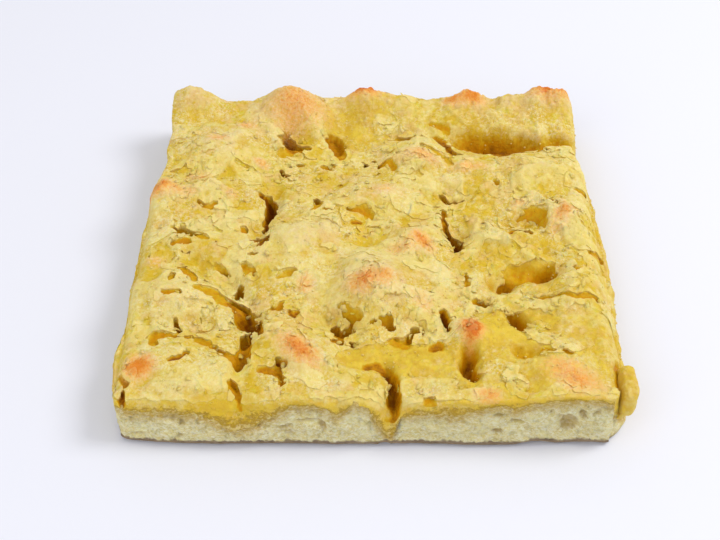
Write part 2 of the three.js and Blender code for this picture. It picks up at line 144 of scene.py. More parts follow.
# tears in the dry film: how dark each one is inside, and the line that it follows, with half its width there
tears = [
    (0.2, [(-66.2, -0.9, 0.4), (-64, -1.1, 0.6), (-60.4, -2.3, 0.5), (-57.2, -5.8, 0.8), (-54.3, -7.9, 0.6)]),
    (0.5, [(-64.9, -9.9, 0.6), (-62.6, -9.8, 1.4), (-60.8, -9.1, 1.5)]),
    (0.9, [(-61.7, -13.3, 0.2), (-59.4, -13.6, 0.3)]),
    (0.35, [(-62, -21.3, 0.6), (-60.1, -21.2, 1.1), (-57.9, -23.8, 1.4), (-56.5, -26.8, 1)]),
    (0.4, [(-63.2, -25.5, 0.4), (-63.1, -28.6, 0.3)]),
    (0.15, [(-50.3, -17.9, 0.4), (-47.9, -20, 0.5), (-45.2, -21.7, 0.3)]),
    (0.25, [(-54.5, -30.6, 1.1), (-52, -30.9, 1.9), (-49.4, -32.2, 1.8), (-47.1, -34.1, 1.7),
        (-44.8, -35.8, 0.9)]),
    (0.4, [(-41.7, -26.5, 0.6), (-42.4, -29.9, 1.1)]),
    (0.75, [(-43.7, -34.6, 1.5), (-41.1, -35.8, 2.4), (-40, -38.8, 2.8), (-37.8, -40.6, 2.4),
        (-33.7, -48.6, 1.6)]),
    (0.6, [(-37.9, -48.7, 1.8), (-37.9, -53.1, 1.8), (-38.5, -57.3, 2.5), (-39.5, -60, 1.6)]),
    (0.5, [(-40.5, -57.8, 1.4), (-44.1, -56.9, 1.1), (-47.9, -53, 0.6)]),
    (0.35, [(-50.1, -51.3, 1.2), (-52.7, -50.7, 1.2)]),
    (0.5, [(-54.7, -49.3, 0.6), (-59.5, -49, 0.7), (-63.9, -48.4, 1.1)]),
    (0.4, [(-66.1, -47.9, 1.1), (-66.4, -52.6, 1.1)]),
    (0.9, [(-59.8, -60.1, 0.3), (-57.6, -58.9, 0.4), (-55, -56.6, 0.4)]),
    (0.9, [(-39.2, -8.6, 0.8), (-36.9, -8.2, 1.5), (-34.7, -6.9, 1.4), (-36, -11.2, 1)]),
    (1, [(-38, 18.1, 0.8), (-36, 18.1, 1), (-34.2, 15.6, 2), (-34.5, 10.8, 1.8), (-35.1, 5.5, 0.8)]),
    (0.1, [(-35.7, 4.7, 1.2), (-35.5, 1.2, 1)]),
    (0.6, [(-42.9, -0.5, 0.8), (-42.2, -2, 0.6)]),
    (0.4, [(-38.7, -14.9, 0.8), (-37.1, -14.4, 0.6)]),
    (0.35, [(-41, -19.7, 0.6), (-39.9, -21.4, 0.8), (-37.7, -21.7, 0.6), (-37, -23.2, 0.6)]),
    (0.1, [(-29.8, -24.4, 0.6), (-27.2, -23.5, 1.1), (-24.4, -22.4, 0.8)]),
    (0.45, [(-30.8, -36.6, 0.6), (-28.9, -36.4, 1.1), (-28, -34.3, 0.7)]),
    (0.9, [(-25.6, -38.1, 0.2), (-24.2, -41, 0.4), (-23.1, -38.2, 0.3)]),
    (0.4, [(-58.9, 12.3, 0.3), (-56.7, 10.3, 0.5), (-54.3, 10.1, 0.4), (-53.4, 11.5, 0.3)]),
    (0.35, [(-18.9, 15.4, 0.8), (-18.3, 10.8, 1)]),
    (0.6, [(-65.5, -34.2, 0.2), (-62.7, -34.3, 0.2), (-60.2, -33.9, 0.2)]),
    (0.6, [(-33.3, -62.1, 0.6), (-30.6, -62.2, 0.9), (-28.2, -62.3, 1.2), (-26.5, -65.7, 0.7),
        (-25.8, -67.9, 0.7)]),
    (0.5, [(-41.2, -66.9, 1), (-40, -68.7, 1.2), (-38.6, -71.3, 0.7)]),
    (0.3, [(-38.6, -72, 0.3), (-38.2, -73.6, 0.3)]),
    (0.9, [(-28.1, -59, 0.4), (-25.9, -59.6, 0.6), (-25.9, -60.4, 0.6)]),
    (0.6, [(-74.4, -64.5, 0.3), (-72.2, -66.6, 0.9), (-71.7, -68.3, 0.7)]),
    (0.9, [(-73.5, -68.9, 0.3), (-72.8, -71.8, 0.9), (-72.6, -73.2, 0.7)]),
    (0.6, [(-60.4, -42.4, 0.4), (-59.2, -45.1, 0.4), (-58.4, -47.9, 0.4)]),
    (0.2, [(50.3, 7.7, 0.6), (53.7, 9.5, 1.6), (56.8, 7.2, 1.6), (57.6, 1.9, 1)]),
    (0.95, [(46.2, -2, 0.4), (49.6, 0.7, 0.7), (53.1, -2.4, 0.5)]),
    (0.5, [(72.1, -10.3, 0.6), (75.2, -8.5, 1)]),
    (0.35, [(59.4, -30, 0.3), (63.6, -32.6, 0.6), (68.6, -31.6, 1.1), (70.9, -32.2, 1.1)]),
    (0.3, [(52.1, -30, 0.3), (56.5, -30.2, 0.3), (59.4, -30.5, 0.3)]),
    (0.3, [(65.4, -18.5, 0.8), (66.2, -19.4, 0.8)]),
    (0.15, [(-9.4, -37, 0.7), (-6.6, -39.5, 1.1), (-3.8, -41.7, 0.9)]),
    (0.65, [(-11.9, -42.5, 1.1), (-9.6, -46.3, 1.4), (-7.2, -44, 1.5), (-5.6, -44.6, 0.7)]),
    (0.8, [(-11.3, -49.9, 0.7), (-9.5, -49, 0.9)]),
    (0.6, [(-6.5, -49.4, 0.9), (-4.9, -50.4, 0.7)]),
    (0.4, [(-0.7, -43.9, 0.4), (1.5, -43, 0.6), (3.6, -42.3, 0.7), (5.5, -43, 1.5), (5.8, -44.3, 1.4)]),
    (0.3, [(5.8, -49, 0.7), (8.2, -49.6, 1.3), (11, -49.8, 1.6), (12.2, -46.6, 0.7)]),
    (0.3, [(12.6, -45.1, 0.6), (13.8, -44.3, 0.6)]),
    (0.75, [(18.7, -52.2, 0.7), (20.6, -51.4, 1.2)]),
    (1, [(22.3, -38.1, 0.6), (23.2, -41, 1), (23.6, -45.2, 0.8)]),
    (0.35, [(17.2, -73.5, 1.7), (18.3, -75.7, 1.4)]),
    (0.7, [(-33.1, 48.4, 0.9), (-31, 48.9, 2.1), (-28.2, 44.3, 2.5), (-25.3, 44, 1.7), (-22.8, 44, 0.8)]),
    (0.1, [(-32, 41.5, 1.7), (-29.5, 40.4, 1.3)]),
    (0.45, [(-14.7, 49.6, 2.1), (-12.4, 45, 2.1), (-11.1, 39.9, 1.7)]),
    (0.8, [(-26, 35.4, 0.3), (-24.6, 35.3, 0.4)]),
    (0.4, [(-17.4, 34.1, 0.7), (-14.9, 33.5, 0.7), (-13.9, 34.9, 0.4)]),
    (0.95, [(-32.2, 31.9, 0.4), (-30.6, 28.8, 0.7), (-29.2, 28.2, 0.4)]),
    (0.9, [(-3.6, 37.3, 0.4), (-1.8, 34.7, 0.4)]),
    (0.9, [(0.7, 37.4, 0.4), (2.5, 32.9, 0.5)]),
    (0.4, [(3.9, 33.3, 0.7), (6.3, 33.5, 0.8), (7.7, 30.7, 0.8)]),
    (0.3, [(-18.9, 15.4, 0.6), (-18.3, 11.6, 1.2), (-19.5, 7.9, 0.8)]),
    (0.3, [(-15.8, 7.7, 0.6), (-13.4, 7.4, 0.4)]),
    (0.35, [(-8.1, 8.5, 0.8), (-5.4, 8.8, 1), (-3, 9.1, 1.4), (-0.6, 7.3, 1.2)]),
    (0.9, [(-6.6, 2.4, 0.3), (-4, 3.5, 0.3)]),
    (0.25, [(9.1, 50.7, 0.7), (13.1, 50.6, 0.7)]),
    (0.35, [(21.2, 56.8, 0.4), (24.8, 55.7, 0.9), (27.4, 54.1, 0.9)]),
    (0.85, [(23.2, 50.6, 0.4), (25.7, 48.6, 1.3), (27.7, 44.7, 1.1), (30, 40.6, 0.5)]),
    (0.15, [(18.9, 42.4, 0.5), (24.3, 39.6, 1.2), (27.5, 33.3, 0.8)]),
    (0.7, [(24.7, 18.9, 0.7), (27.6, 15.4, 1.2), (30.8, 17.1, 1)]),
    (0.8, [(24.2, 9.7, 0.5), (24.3, 3.2, 0.8), (25.3, 1, 1.2)]),
    (0.9, [(24.9, -0.4, 1.6), (27.5, -3.1, 2.7), (28.4, -8.8, 1.9)]),
    (0.8, [(32.6, 47.4, 1.7), (37.1, 43.8, 2.1), (42.2, 41.8, 2.1), (47.7, 42.1, 2.1), (53.1, 42.3, 1.7),
        (56.9, 44.4, 1.1)]),
    (0.4, [(42.7, 24.1, 0.4), (44, 23, 0.4)]),
    (0.3, [(70.7, 21.1, 0.4), (73.7, 21.3, 0.8)]),
    (0.5, [(61.4, 13.9, 0.3), (62.3, 9.2, 0.4)]),
    (0.4, [(30.4, -21.1, 0.5), (30.4, -25.8, 0.4)]),
    (0.3, [(33.3, -32.3, 1.1), (35.8, -32.8, 1.7)]),
    (0.4, [(58.3, -55.6, 0.7), (59.9, -56.7, 0.4)]),
    (0.4, [(52.7, -53.3, 0.7), (54.5, -55, 0.4)]),
    (0.45, [(73.6, -57.4, 0.7), (73.8, -62.1, 1.4), (73.6, -67.3, 1.4)]),
    (0.7, [(-1.8, -59.6, 0.5), (1.4, -58.8, 1), (4.6, -60.5, 1.2), (7, -64.5, 1.1), (7.8, -69, 1.1),
        (7, -73.5, 1)]),
]

# the cut front, from left to right: x, the height of its top edge, and where the topping ends on it
frontEdge = [
    (-77, 16, 13.5), (-68, 17, 12.5), (-60, 17.5, 13), (-52, 17, 12), (-46, 16, 10), (-40, 14.5, 7.2),
    (-35, 16.5, 8.6), (-28, 17.5, 12), (-23, 18.5, 15.5), (-16, 18.5, 16), (-10, 17, 12), (-5, 18.5, 16.5),
    (-0.8, 17.5, 15), (2, 16, 8.5), (4.5, 10.5, 3.8), (7, 9.5, 5), (9.2, 14.5, 11.5), (14, 17, 12.5),
    (18, 16.5, 13), (25, 18, 12), (31, 18, 14.5), (37, 18.5, 16.5), (43, 18.5, 15), (49, 19.5, 17.5),
    (58, 20.5, 18.8), (67, 20.5, 19.3), (72, 19, 16.5), (77, 17, 10),
]
front = dict(zip(("x", "top", "seam"), zip(*frontEdge)))
front.update(rough=0.35, rounding=(3.2, 0.9), bend=(0.5, 6.5), fall=0.7, seamRough=0.9, least=1.2)

relief = dict(broad=1.3, broadLength=17, fine=0.7, fineLength=6.5)
wanderRule = dict(size=0.5, length=9, atFront=0.4)
sideShifts = dict(  # how far the left and the right side stand out, from front to back
    left=[0.6, 2, 0.8, 1.6, 1.3, 0.6, -1.2, -1.4, -2],
    right=[-0.8, 1, 1.4, 2.4, 2.2, 1.4, -1.2, -1, -1.4],
)
nicks = [  # bites in the outline
    dict(side="left", at=47, half=8, depth=1),
    dict(side="left", at=29, half=9, depth=1.7),
    dict(side="right", at=45, half=7, depth=1.8),
    dict(side="right", at=-68, half=8, depth=2),
]
# how high the topping ends on a cut and on the rim, and how thick it is at least
toppingEdge = dict(cut=14.2, rim=3.6, waver=1.1, waverLength=14, least=1.4, sideReach=4.5, hiddenReach=5.6)
doughSide = dict(rimBulge=1.3, cutRoughness=0.5, roughLength=5, flatShare=0.91, lift=1, liftLength=19,
                 slant=2.1, slantHeight=17)
belly = dict(at=-37, half=27, height=13, reach=1.1)  # where the cut front bulges
foot = dict(at=-66, half=8, height=4.5, reach=3.2)  # dough that has run out under the tongue


def mix(a, b, t):
    return a + (b - a) * t


def smooth(t, low=0, high=1):
    s = np.clip((t - low) / (high - low), 0, 1)
    return s * s * (3 - 2 * s)


def chance(i, j, seed):  # repeatable, 0 to 1
    s = np.sin(np.asarray(i) * 127.1 + np.asarray(j) * 311.7 + seed * 74.7) * 43758.5453
    return s - np.floor(s)


def noise(x, y, length, seed):  # smooth, -1 to 1, bumps about one length across
    u, v = np.asarray(x) / length, np.asarray(y) / length
    i, j = np.floor(u), np.floor(v)
    a, b = smooth(u - i), smooth(v - j)
    near = mix(chance(i, j, seed), chance(i + 1, j, seed), a)
    far = mix(chance(i, j + 1, seed), chance(i + 1, j + 1, seed), a)
    return 2 * mix(near, far, b) - 1


def layered(x, y, length, seed, layers=3):  # noise with finer noise on it
    return sum(noise(x, y, length / 2**k, seed + k) / 2**k for k in range(layers)) / 1.75


def cellsAt(x, y, spacing, seed, jitter=0.42):  # the nearest of scattered cells, and how far its border is
    i0, j0 = np.floor(x / spacing), np.floor(y / spacing)
    best = np.full(np.shape(x), np.inf)
    second = best.copy()
    found = {key: np.zeros(np.shape(x)) for key in ("value", "turn", "dx", "dy")}
    for dj in (-1, 0, 1):
        for di in (-1, 0, 1):
            i, j = i0 + di, j0 + dj
            dx = x - (i + 0.5 + jitter * (2 * chance(i, j, seed) - 1)) * spacing
            dy = y - (j + 0.5 + jitter * (2 * chance(i, j, seed + 1) - 1)) * spacing
            away = np.hypot(dx, dy)
            closer = away < best
            second = np.where(closer, best, np.minimum(second, away))
            best = np.where(closer, away, best)
            own = dict(value=chance(i, j, seed + 2), turn=2 * math.pi * chance(i, j, seed + 3), dx=dx, dy=dy)
            for key, values in own.items():
                found[key] = np.where(closer, values, found[key])
    found["border"] = (second - best) / 2
    return found


def reachOf(shape, x, y):  # 0 in the middle of a turned ellipse, 1 on its edge
    turn = math.radians(shape["turn"])
    dx, dy = x - shape["at"][0], y - shape["at"][1]
    along = (dx * math.cos(turn) + dy * math.sin(turn)) / shape["half"][0]
    across = (dy * math.cos(turn) - dx * math.sin(turn)) / shape["half"][1]
    return np.hypot(along, across)


def blended(values):  # the larger wins, so bumps don't pile up
    return np.cbrt(sum(v**3 for v in values))


def holeDepth(x, y, steep=3):
    return blended([h["depth"] * np.exp(-(reachOf(h, x, y) ** steep)) for h in holes])


def moundRise(x, y):
    return blended([m["rise"] * np.exp(-(reachOf(m, x, y) ** 2)) for m in mounds])


def insideBy(x, y):
    return np.minimum(cake["width"] / 2 - np.abs(x), cake["depth"] / 2 - np.abs(y))


def rimShare(x, y):  # 1 on the baked rim at the back and right, 0 on the cuts
    right, back = cake["width"] / 2 - x, cake["depth"] / 2 - y
    left, ahead = cake["width"] / 2 + x, cake["depth"] / 2 + y
    return smooth(np.minimum(left, ahead) - np.minimum(right, back), -6, 6)


def edgeFall(x, y):
    radius = mix(cake["cutRadius"], cake["rimRadius"], rimShare(x, y))
    left = np.clip(radius - insideBy(x, y), 0, radius)
    return radius - np.sqrt(radius**2 - left**2)


def bumpsAt(x, y):
    broad = relief["broad"] * noise(x, y, relief["broadLength"], 3)
    return broad + relief["fine"] * noise(x, y, relief["fineLength"], 5)


def solidTop(x, y):  # the same top as the solid's
    top = cake["level"] + moundRise(x, y) + bumpsAt(x, y) - holeDepth(x, y) - edgeFall(x, y)
    return np.maximum(cake["lowest"], top)


def nearFront(x, y, top):  # bends a top to the height of the cut edge at the front
    inside = y + cake["depth"] / 2
    edge = np.interp(x, front["x"], front["top"]) + front["rough"] * layered(x, y, 2.6, 71)
    radius = mix(*front["rounding"], smooth(x, -8, 24))  # rounder at the left
    left = np.clip(radius - inside, 0, radius)
    first, last = front["bend"]
    fall = front["fall"] * (radius - np.sqrt(radius**2 - left**2))
    bent = mix(edge, top, smooth(inside, first, last)) - fall
    return np.where(inside < last, bent, top)


def lowestNear(x, y, reach, step=1.5):
    offsets = np.arange(-reach, reach + 1e-9, step)
    lowest = np.full(np.shape(x), np.inf)
    for dy in offsets:
        for dx in offsets:
            if math.hypot(dx, dy) <= reach:
                lowest = np.minimum(lowest, solidTop(x + dx, y + dy))
    return lowest


def sideShift(side, y):
    values = np.array(sideShifts[side], float)
    place = np.clip(y / cake["depth"] + 0.5, 0, 1) * (len(values) - 1)
    k = np.minimum(np.floor(place).astype(int), len(values) - 2)
    out = mix(values[k], values[k + 1], smooth(place - k))
    for n in nicks:
        if n["side"] == side:
            out = out - n["depth"] * np.exp(-(((y - n["at"]) / n["half"]) ** 4))
    return out


def wander(along, seed):
    return wanderRule["size"] * noise(along, seed, wanderRule["length"], seed)


def trueInside(x, y):  # the distance to the wandering outline, with its round corners
    toRight = cake["width"] / 2 - x + wander(y, 11) + sideShift("right", y)
    toLeft = cake["width"] / 2 + x + wander(y, 17) + sideShift("left", y)
    toBack = cake["depth"] / 2 - y + wander(x, 23)
    toFront = cake["depth"] / 2 + y + wanderRule["atFront"] * wander(x, 29)
    a, b, c = np.minimum(toLeft, toRight), np.minimum(toFront, toBack), cake["cornerRadius"]
    return np.where((a < c) & (b < c), c - np.hypot(c - a, c - b), np.minimum(a, b))


def roundedSquare(s, t):
    c = 2 * cake["cornerRadius"] / cake["width"]
    a, b = np.abs(s), np.abs(t)
    least = np.minimum(a, b)
    turn = np.clip((least - (1 - c)) / c, 0, 1) * math.pi / 4
    long, short = 1 - c + c * np.cos(turn), 1 - c + c * np.sin(turn)
    corner = least > 1 - c
    u = np.where(corner, np.where(a > b, np.sign(s) * long, np.sign(s) * short), s)
    v = np.where(corner, np.where(a > b, np.sign(t) * short, np.sign(t) * long), t)
    return u, v


def plan(s, t):  # the place in plan of a point of the square from -1 to 1 each way
    ring = np.maximum(np.maximum(np.abs(s), np.abs(t)), 1e-9)
    edgeS, edgeT = roundedSquare(s / ring, t / ring)
    share = ring**4
    x = mix(s, edgeS * ring, share) * cake["width"] / 2
    y = mix(t, edgeT * ring, share) * cake["depth"] / 2
    outX = np.where(s > 0, wander(y, 11) + sideShift("right", y), wander(y, 17) + sideShift("left", y))
    outY = np.where(t > 0, wander(x, 23), wanderRule["atFront"] * wander(x, 29))
    return x + np.sign(s) * np.abs(s) ** 8 * outX, y + np.sign(t) * np.abs(t) ** 8 * outY


def crowded(count):
    s = np.linspace(-1, 1, count + 1)
    return s * (1 + 0.1 * (1 - s * s))


def ringOf(rows):  # round the edge of a grid, counterclockwise from the front left corner
    return np.concatenate([rows[0, :-1], rows[:-1, -1], rows[-1, :0:-1], rows[:0:-1, 0]])


def gridFaces(rows, flipped=False):  # the quads of a grid of point numbers
    a, b, c, d = rows[:-1, :-1], rows[:-1, 1:], rows[1:, 1:], rows[1:, :-1]
    order = (a, d, c, b) if flipped else (a, b, c, d)
    return np.stack([q.ravel() for q in order], 1)


def bandFaces(upper, lower):  # the quads between two closed rings
    return np.stack([upper, lower, np.roll(lower, -1), np.roll(upper, -1)], 1)


def stitchFaces(outer, inner, flipped=False):  # a flat band between rings of unequal count
    faces, o, i = [], 0, 0
    while o < len(outer) or i < len(inner):
        a, b = int(outer[o % len(outer)]), int(inner[i % len(inner)])
        outerTurn = (o + 1) / len(outer) <= (i + 1) / len(inner)
        c = int(outer[(o + 1) % len(outer)] if outerTurn else inner[(i + 1) % len(inner)])
        faces.append((a, b, c) if flipped else (a, c, b))
        o, i = (o + 1, i) if outerTurn else (o, i + 1)
    return faces


def linked(name, data):
    piece = bpy.data.objects.new(name, data)
    bpy.context.scene.collection.objects.link(piece)
    return piece


def setFields(mesh, fields):
    for key, values in fields.items():
        layer = mesh.attributes.get(key) or mesh.attributes.new(key, "FLOAT", "POINT")
        layer.data.foreach_set("value", np.asarray(values, np.float32))


def meshFrom(name, points, faces, fields=None):
    mesh = bpy.data.meshes.new(name)
    faceList = faces if isinstance(faces, list) else faces.tolist()
    mesh.from_pydata((np.asarray(points) * mm).tolist(), [], faceList)
    setFields(mesh, fields or {})
    mesh.polygons.foreach_set("use_smooth", np.ones(len(mesh.polygons), bool))
    mesh.update()
    if fields:
        normals = np.zeros(len(mesh.vertices) * 3, np.float32)
        mesh.vertex_normals.foreach_get("vector", normals)
        setFields(mesh, dict(steep=np.sqrt(np.maximum(1 - normals[2::3] ** 2, 0))))
    return linked(name, mesh)


def triangleCount(piece):
    return sum(len(p.vertices) - 2 for p in piece.data.polygons)


# fields over the plan are worked out once, on a fine raster
raster = dict(half=84, step=0.4)
axis = np.arange(-raster["half"], raster["half"] + raster["step"] / 2, raster["step"])
mapX, mapY = np.meshgrid(axis, axis)


def blur(z, reach):
    count = int(3 * reach / raster["step"])
    kernel = np.exp(-0.5 * (np.arange(-count, count + 1) * raster["step"] / reach) ** 2)
    kernel /= kernel.sum()
    for way in (0, 1):
        z = np.apply_along_axis(lambda v: np.convolve(np.pad(v, count, "edge"), kernel, "valid"), way, z)
    return z


def sample(field, x, y):
    u = np.clip((x + raster["half"]) / raster["step"], 0, len(axis) - 1.001)
    v = np.clip((y + raster["half"]) / raster["step"], 0, len(axis) - 1.001)
    i, j = u.astype(int), v.astype(int)
    a, b = u - i, v - j
    return mix(mix(field[j, i], field[j, i + 1], a), mix(field[j + 1, i], field[j + 1, i + 1], a), b)


tearRule = dict(warp=0.5, warpLength=2.6, fray=0.3, frayLength=0.9, grow=0.5, depth=(0.6, 1.1), farAway=50.0)


def tearFields():  # how far the nearest tear's edge is, how deep its groove goes, and how dark it is
    rule = tearRule
    away, groove, shade = np.full(mapX.shape, rule["farAway"]), np.zeros(mapX.shape), np.zeros(mapX.shape)
    wx, wy = (v + rule["warp"] * layered(mapX, mapY, rule["warpLength"], 81 + k)
              + rule["fray"] * noise(mapX, mapY, rule["frayLength"], 87 + k)
              for v, k in ((mapX, 0), (mapY, 2)))
    for dark, path in tears:
        gap, near = np.full(mapX.shape, rule["farAway"]), np.full(mapX.shape, rule["farAway"])
        for (ax, ay, first), (bx, by, last) in zip(path[:-1], path[1:]):
            dx, dy = bx - ax, by - ay
            t = np.clip(((wx - ax) * dx + (wy - ay) * dy) / max(dx * dx + dy * dy, 1e-6), 0, 1)
            far, half = np.hypot(wx - ax - t * dx, wy - ay - t * dy), mix(first, last, t)
            gap, near = np.minimum(gap, far - half), np.minimum(near, far / (half + 0.5))
        away = np.minimum(away, gap - rule["grow"])
        shade = np.maximum(shade, dark * smooth(-gap, -0.8, 0.1))
        depth = min(rule["depth"][0] + rule["depth"][1] * dark, 1.5 * max(p[2] for p in path) + 0.5)
        groove = np.maximum(groove, depth * np.exp(-(near**4)))
    return away, groove, shade


def lumpyAt(x, y):  # 1 towards the right and back, where the film is broken into lumps
    return smooth(x, -5, 35) * smooth(y, -48, -28) * (1 - smooth(y, 30, 42))


# fused flakes of three sizes: how wide, how high their steps, how far each tips, and how ragged they are
flaky = dict(widths=[9.5, 4.8, 2.4], steps=[0.42, 0.28, 0.15], tips=[0.06, 0.08, 0.1],
             waves=[(1.4, 5), (0.6, 1.6)], soften=0.45)


def flakyRelief(x, y):
    wx, wy = x, y
    for k, (size, length) in enumerate(flaky["waves"]):
        wx = wx + size * layered(x, y, length, 401 + k)
        wy = wy + size * layered(x, y, length, 411 + k)
    height, tone, borders = 0, 0, []
    for k, (width, step, tip) in enumerate(zip(flaky["widths"], flaky["steps"], flaky["tips"])):
        cell = cellsAt(wx, wy, width, 421 + 7 * k)
        height = height + step * (2 * cell["value"] - 1)
        height = height + tip * (cell["dx"] * np.cos(cell["turn"]) + cell["dy"] * np.sin(cell["turn"]))
        tone = tone + (cell["value"] - 0.5) / (k + 1)
        borders.append(cell["border"])
    return blur(height, flaky["soften"]), tone, borders


filmRule = dict(
    overHoles=0.5, lift=0.4, soften=1.6, holeEdge=1.2, edgeInset=0.9, frontInset=1.2, crackDepth=0.42,
    bareRagged=1.7, edgeRagged=0.5, frontRagged=2.8, ragged=0.7, fray=0.35, crumbWidth=1.9, waves=0.45,
)
dryness = dict(film=0.85, hole=0.05, holeWet=1.25, tear=0.1, front=0.5)

tearAway, tearGroove, tearShade = tearFields()
aheadAway = mapY + cake["depth"] / 2
openHoles = [h for h in holes if not h.get("spanned")]
holeAway = np.minimum.reduce([(reachOf(h, mapX, mapY) - 1) * h["half"][1] for h in openHoles])
bareAway = np.minimum.reduce([(reachOf(z, mapX, mapY) - 1) * z["half"][1] * 0.8 for z in bareZones])
islandAway = np.maximum.reduce([(1 - reachOf(z, mapX, mapY)) * z["half"][1] for z in islands])
bareAway = np.maximum(bareAway, islandAway + 0.3)
calm = smooth(-bareAway, -2, 3)
relieved, flakeTone, flakeBorders = flakyRelief(mapX, mapY)
broken = smooth(layered(mapX, mapY, 13, 91), -0.05, 0.5)  # where the flakes have come apart
riseMap, depthMap = moundRise(mapX, mapY), holeDepth(mapX, mapY)


def topOver(share):  # the cake's top, with that share of its holes
    top = cake["level"] + riseMap + bumpsAt(mapX, mapY) - share * depthMap - edgeFall(mapX, mapY)
    return nearFront(mapX, mapY, top)


filmMap = topOver(filmRule["overHoles"])
filmMap = (filmMap + blur(filmMap, filmRule["soften"])) / 2
lumpy = lumpyAt(mapX, mapY)
filmMap += relieved * (1 - 0.55 * calm) * (1 + 0.6 * lumpy)
filmMap += filmRule["lift"] * smooth(bareAway, -1, 3)
crumbs = cellsAt(mapX + 0.4 * noise(mapX, mapY, 1.6, 93), mapY, filmRule["crumbWidth"], 95)
crumbly = smooth(layered(mapX, mapY, 16, 97), -0.3, 0.4)
crumbRelief = 0.3 * crumbs["value"] + 0.35 * np.minimum(crumbs["border"], 0.6) - 0.3
filmMap += crumbly * (1 + 1.2 * lumpy) * crumbRelief
filmMap += filmRule["waves"] * layered(mapX, mapY, 6, 99) * smooth(aheadAway, 2, 8)
# how far inside the film a place is, less than 0 where there is none
coverMap = np.minimum.reduce([
    bareAway + filmRule["bareRagged"] * layered(mapX, mapY, 7, 61),
    holeAway + filmRule["holeEdge"],
    tearAway,
    trueInside(mapX, mapY) - filmRule["edgeInset"] + filmRule["edgeRagged"] * layered(mapX, mapY, 5, 65),
    aheadAway - filmRule["frontInset"] + filmRule["frontRagged"] * layered(mapX, mapY, 6, 85),
    flakeBorders[0] * 1.5 + 1.6 - 2.9 * broken,
    flakeBorders[1] * 1.5 + 2.4 - 2.7 * broken,
])
coverMap += filmRule["ragged"] * layered(mapX, mapY, 3.2, 67) + filmRule["fray"] * noise(mapX, mapY, 1.1, 69)
dryMap, grainMap = np.full(mapX.shape, dryness["film"]), np.ones(mapX.shape)
for zone in bareZones:
    grainMap = mix(grainMap, zone.get("grain", 1), smooth(reachOf(zone, mapX, mapY), 1.1, 0.85))
    dryMap = mix(dryMap, zone["dry"], smooth(reachOf(zone, mapX, mapY), 1.2, 0.8))
dryMap = mix(dryMap, dryness["film"], smooth(islandAway, -0.4, 0.3))
for hole in openHoles:
    wet = hole.get("wet", dryness["holeWet"])
    dryMap = mix(dryMap, dryness["hole"], smooth(reachOf(hole, mapX, mapY), wet, 0.6))
dryMap = mix(dryMap, dryness["tear"], smooth(tearAway, 0.4, -0.4))
dryMap = mix(dryMap, dryness["front"], smooth(aheadAway, 6, 1.5))
# a crack between flakes stays shallow, a tear or a hole goes as deep as it likes
crackMap = mix(filmRule["crackDepth"], 20, smooth(np.minimum(tearAway, holeAway - 0.3), 1.2, 0))
print("fields worked out")


# toasted spots, for the materials: middle, half length, half width, turn, strength, and red from 0 to 1
toastSpots = spots("at half turn strength red", [
    ((-28, 62), (12, 10), 0, 0.62, 0.8),
    ((-3, 71), (7, 5), 0, 1, 0.7),
    ((29, 67), (3.5, 3), 0, 0.7, 0.2),
    ((37, 68), (5, 5), 0, 0.9, 0.25),
    ((66.5, 71), (9, 5.4), 0, 0.95, 0.65),
    ((-55, 43), (4, 2.5), 0, 0.6, 0.3),
    ((-46, 53), (3.5, 2.5), 0, 0.6, 0.3),
    ((-39, 34), (4, 2), -20, 0.55, 0.1),
    ((-73, 16.5), (5, 4), 0, 1, 0.3),
    ((-64, 16), (5, 2.5), -10, 0.45, 0.2),
    ((-60, 24), (5, 3), 0, 0.5, 0.1),
    ((-48, 17), (3, 2), 0, 0.4, 0.2),
    ((-3.4, -30.5), (4.5, 4.5), -20, 0.72, 0.75),
    ((3.8, -30), (4.6, 3.8), 0, 0.58, 0),
    ((15.5, -35), (5, 3.4), -50, 0.45, 0.6),
    ((17, -8.5), (5, 2.8), -45, 0.75, 0.3),
    ((10, -12), (6, 4), 0, 0.5, 0.6),
    ((-20.5, -27), (2.8, 4), 0, 0.55, 0),
    ((-21.5, -56), (8, 4.2), -42, 0.85, 0.45),
    ((30.9, -47), (3.8, 4.8), 10, 1.2, 0.6),
    ((-69, -62), (5, 4.4), 0, 1, 0.15),
    ((-70, -17), (4.5, 3), 0, 0.35, 0.8),
    ((61, -67), (7, 5.2), -12, 0.6, 0),
    ((55, -62), (6, 5), 0, 0.3, 0.9),
    ((34, -71), (4.5, 3), 0, 0.65, 0),
    ((65, 6), (4.5, 3), 30, 0.65, 0.2),
    ((62, 0), (4.5, 5.5), 0, 0.35, 0.4),
    ((50, 13), (3, 2), 0, 0.6, 0.2),
    ((18, 36), (7, 4), -20, 0.6, 0.7),
    ((34, 31), (7, 3), 0, 0.5, 0.6),
    ((4, 18), (6, 3.5), 0, 0.4, 0.7),
])


toastRule = dict(shift=1.2, shiftLength=5, steep=2.2, most=1.2)


def toastAt(x, y):  # how toasted, and how red
    shift = toastRule["shift"] * layered(x, y, toastRule["shiftLength"], 101)
    reaches = [reachOf(spot, x + shift, y - shift) for spot in toastSpots]
    parts = [spot["strength"] * np.exp(-(r ** toastRule["steep"])) for spot, r in zip(toastSpots, reaches)]
    total = sum(parts)
    red = sum(part * spot["red"] for spot, part in zip(toastSpots, parts)) / np.maximum(total, 1e-3)
    return np.clip(total, 0, toastRule["most"]), red


toastMap, redMap = toastAt(mapX, mapY)


# the topping is one surface over the top and down the sides
topping = dict(cells=280, sideRows=12, warp=1.1, warpLength=4.5, steep=3.4, grain=(0.45, 0.5), grainWidth=1.7,
               fine=(0.6, 0.25, 0.7), knobs=(0.8, 0.35), tuck=1.2, lip=0.2, sideLow=0.5, sideDry=(0.5, 0.9),
               sideToast=0.05)
tornLook = dict(least=1.5, darker=5.5, curve=1.3, byDepth=0.3)  # how deep a tear looks to the materials


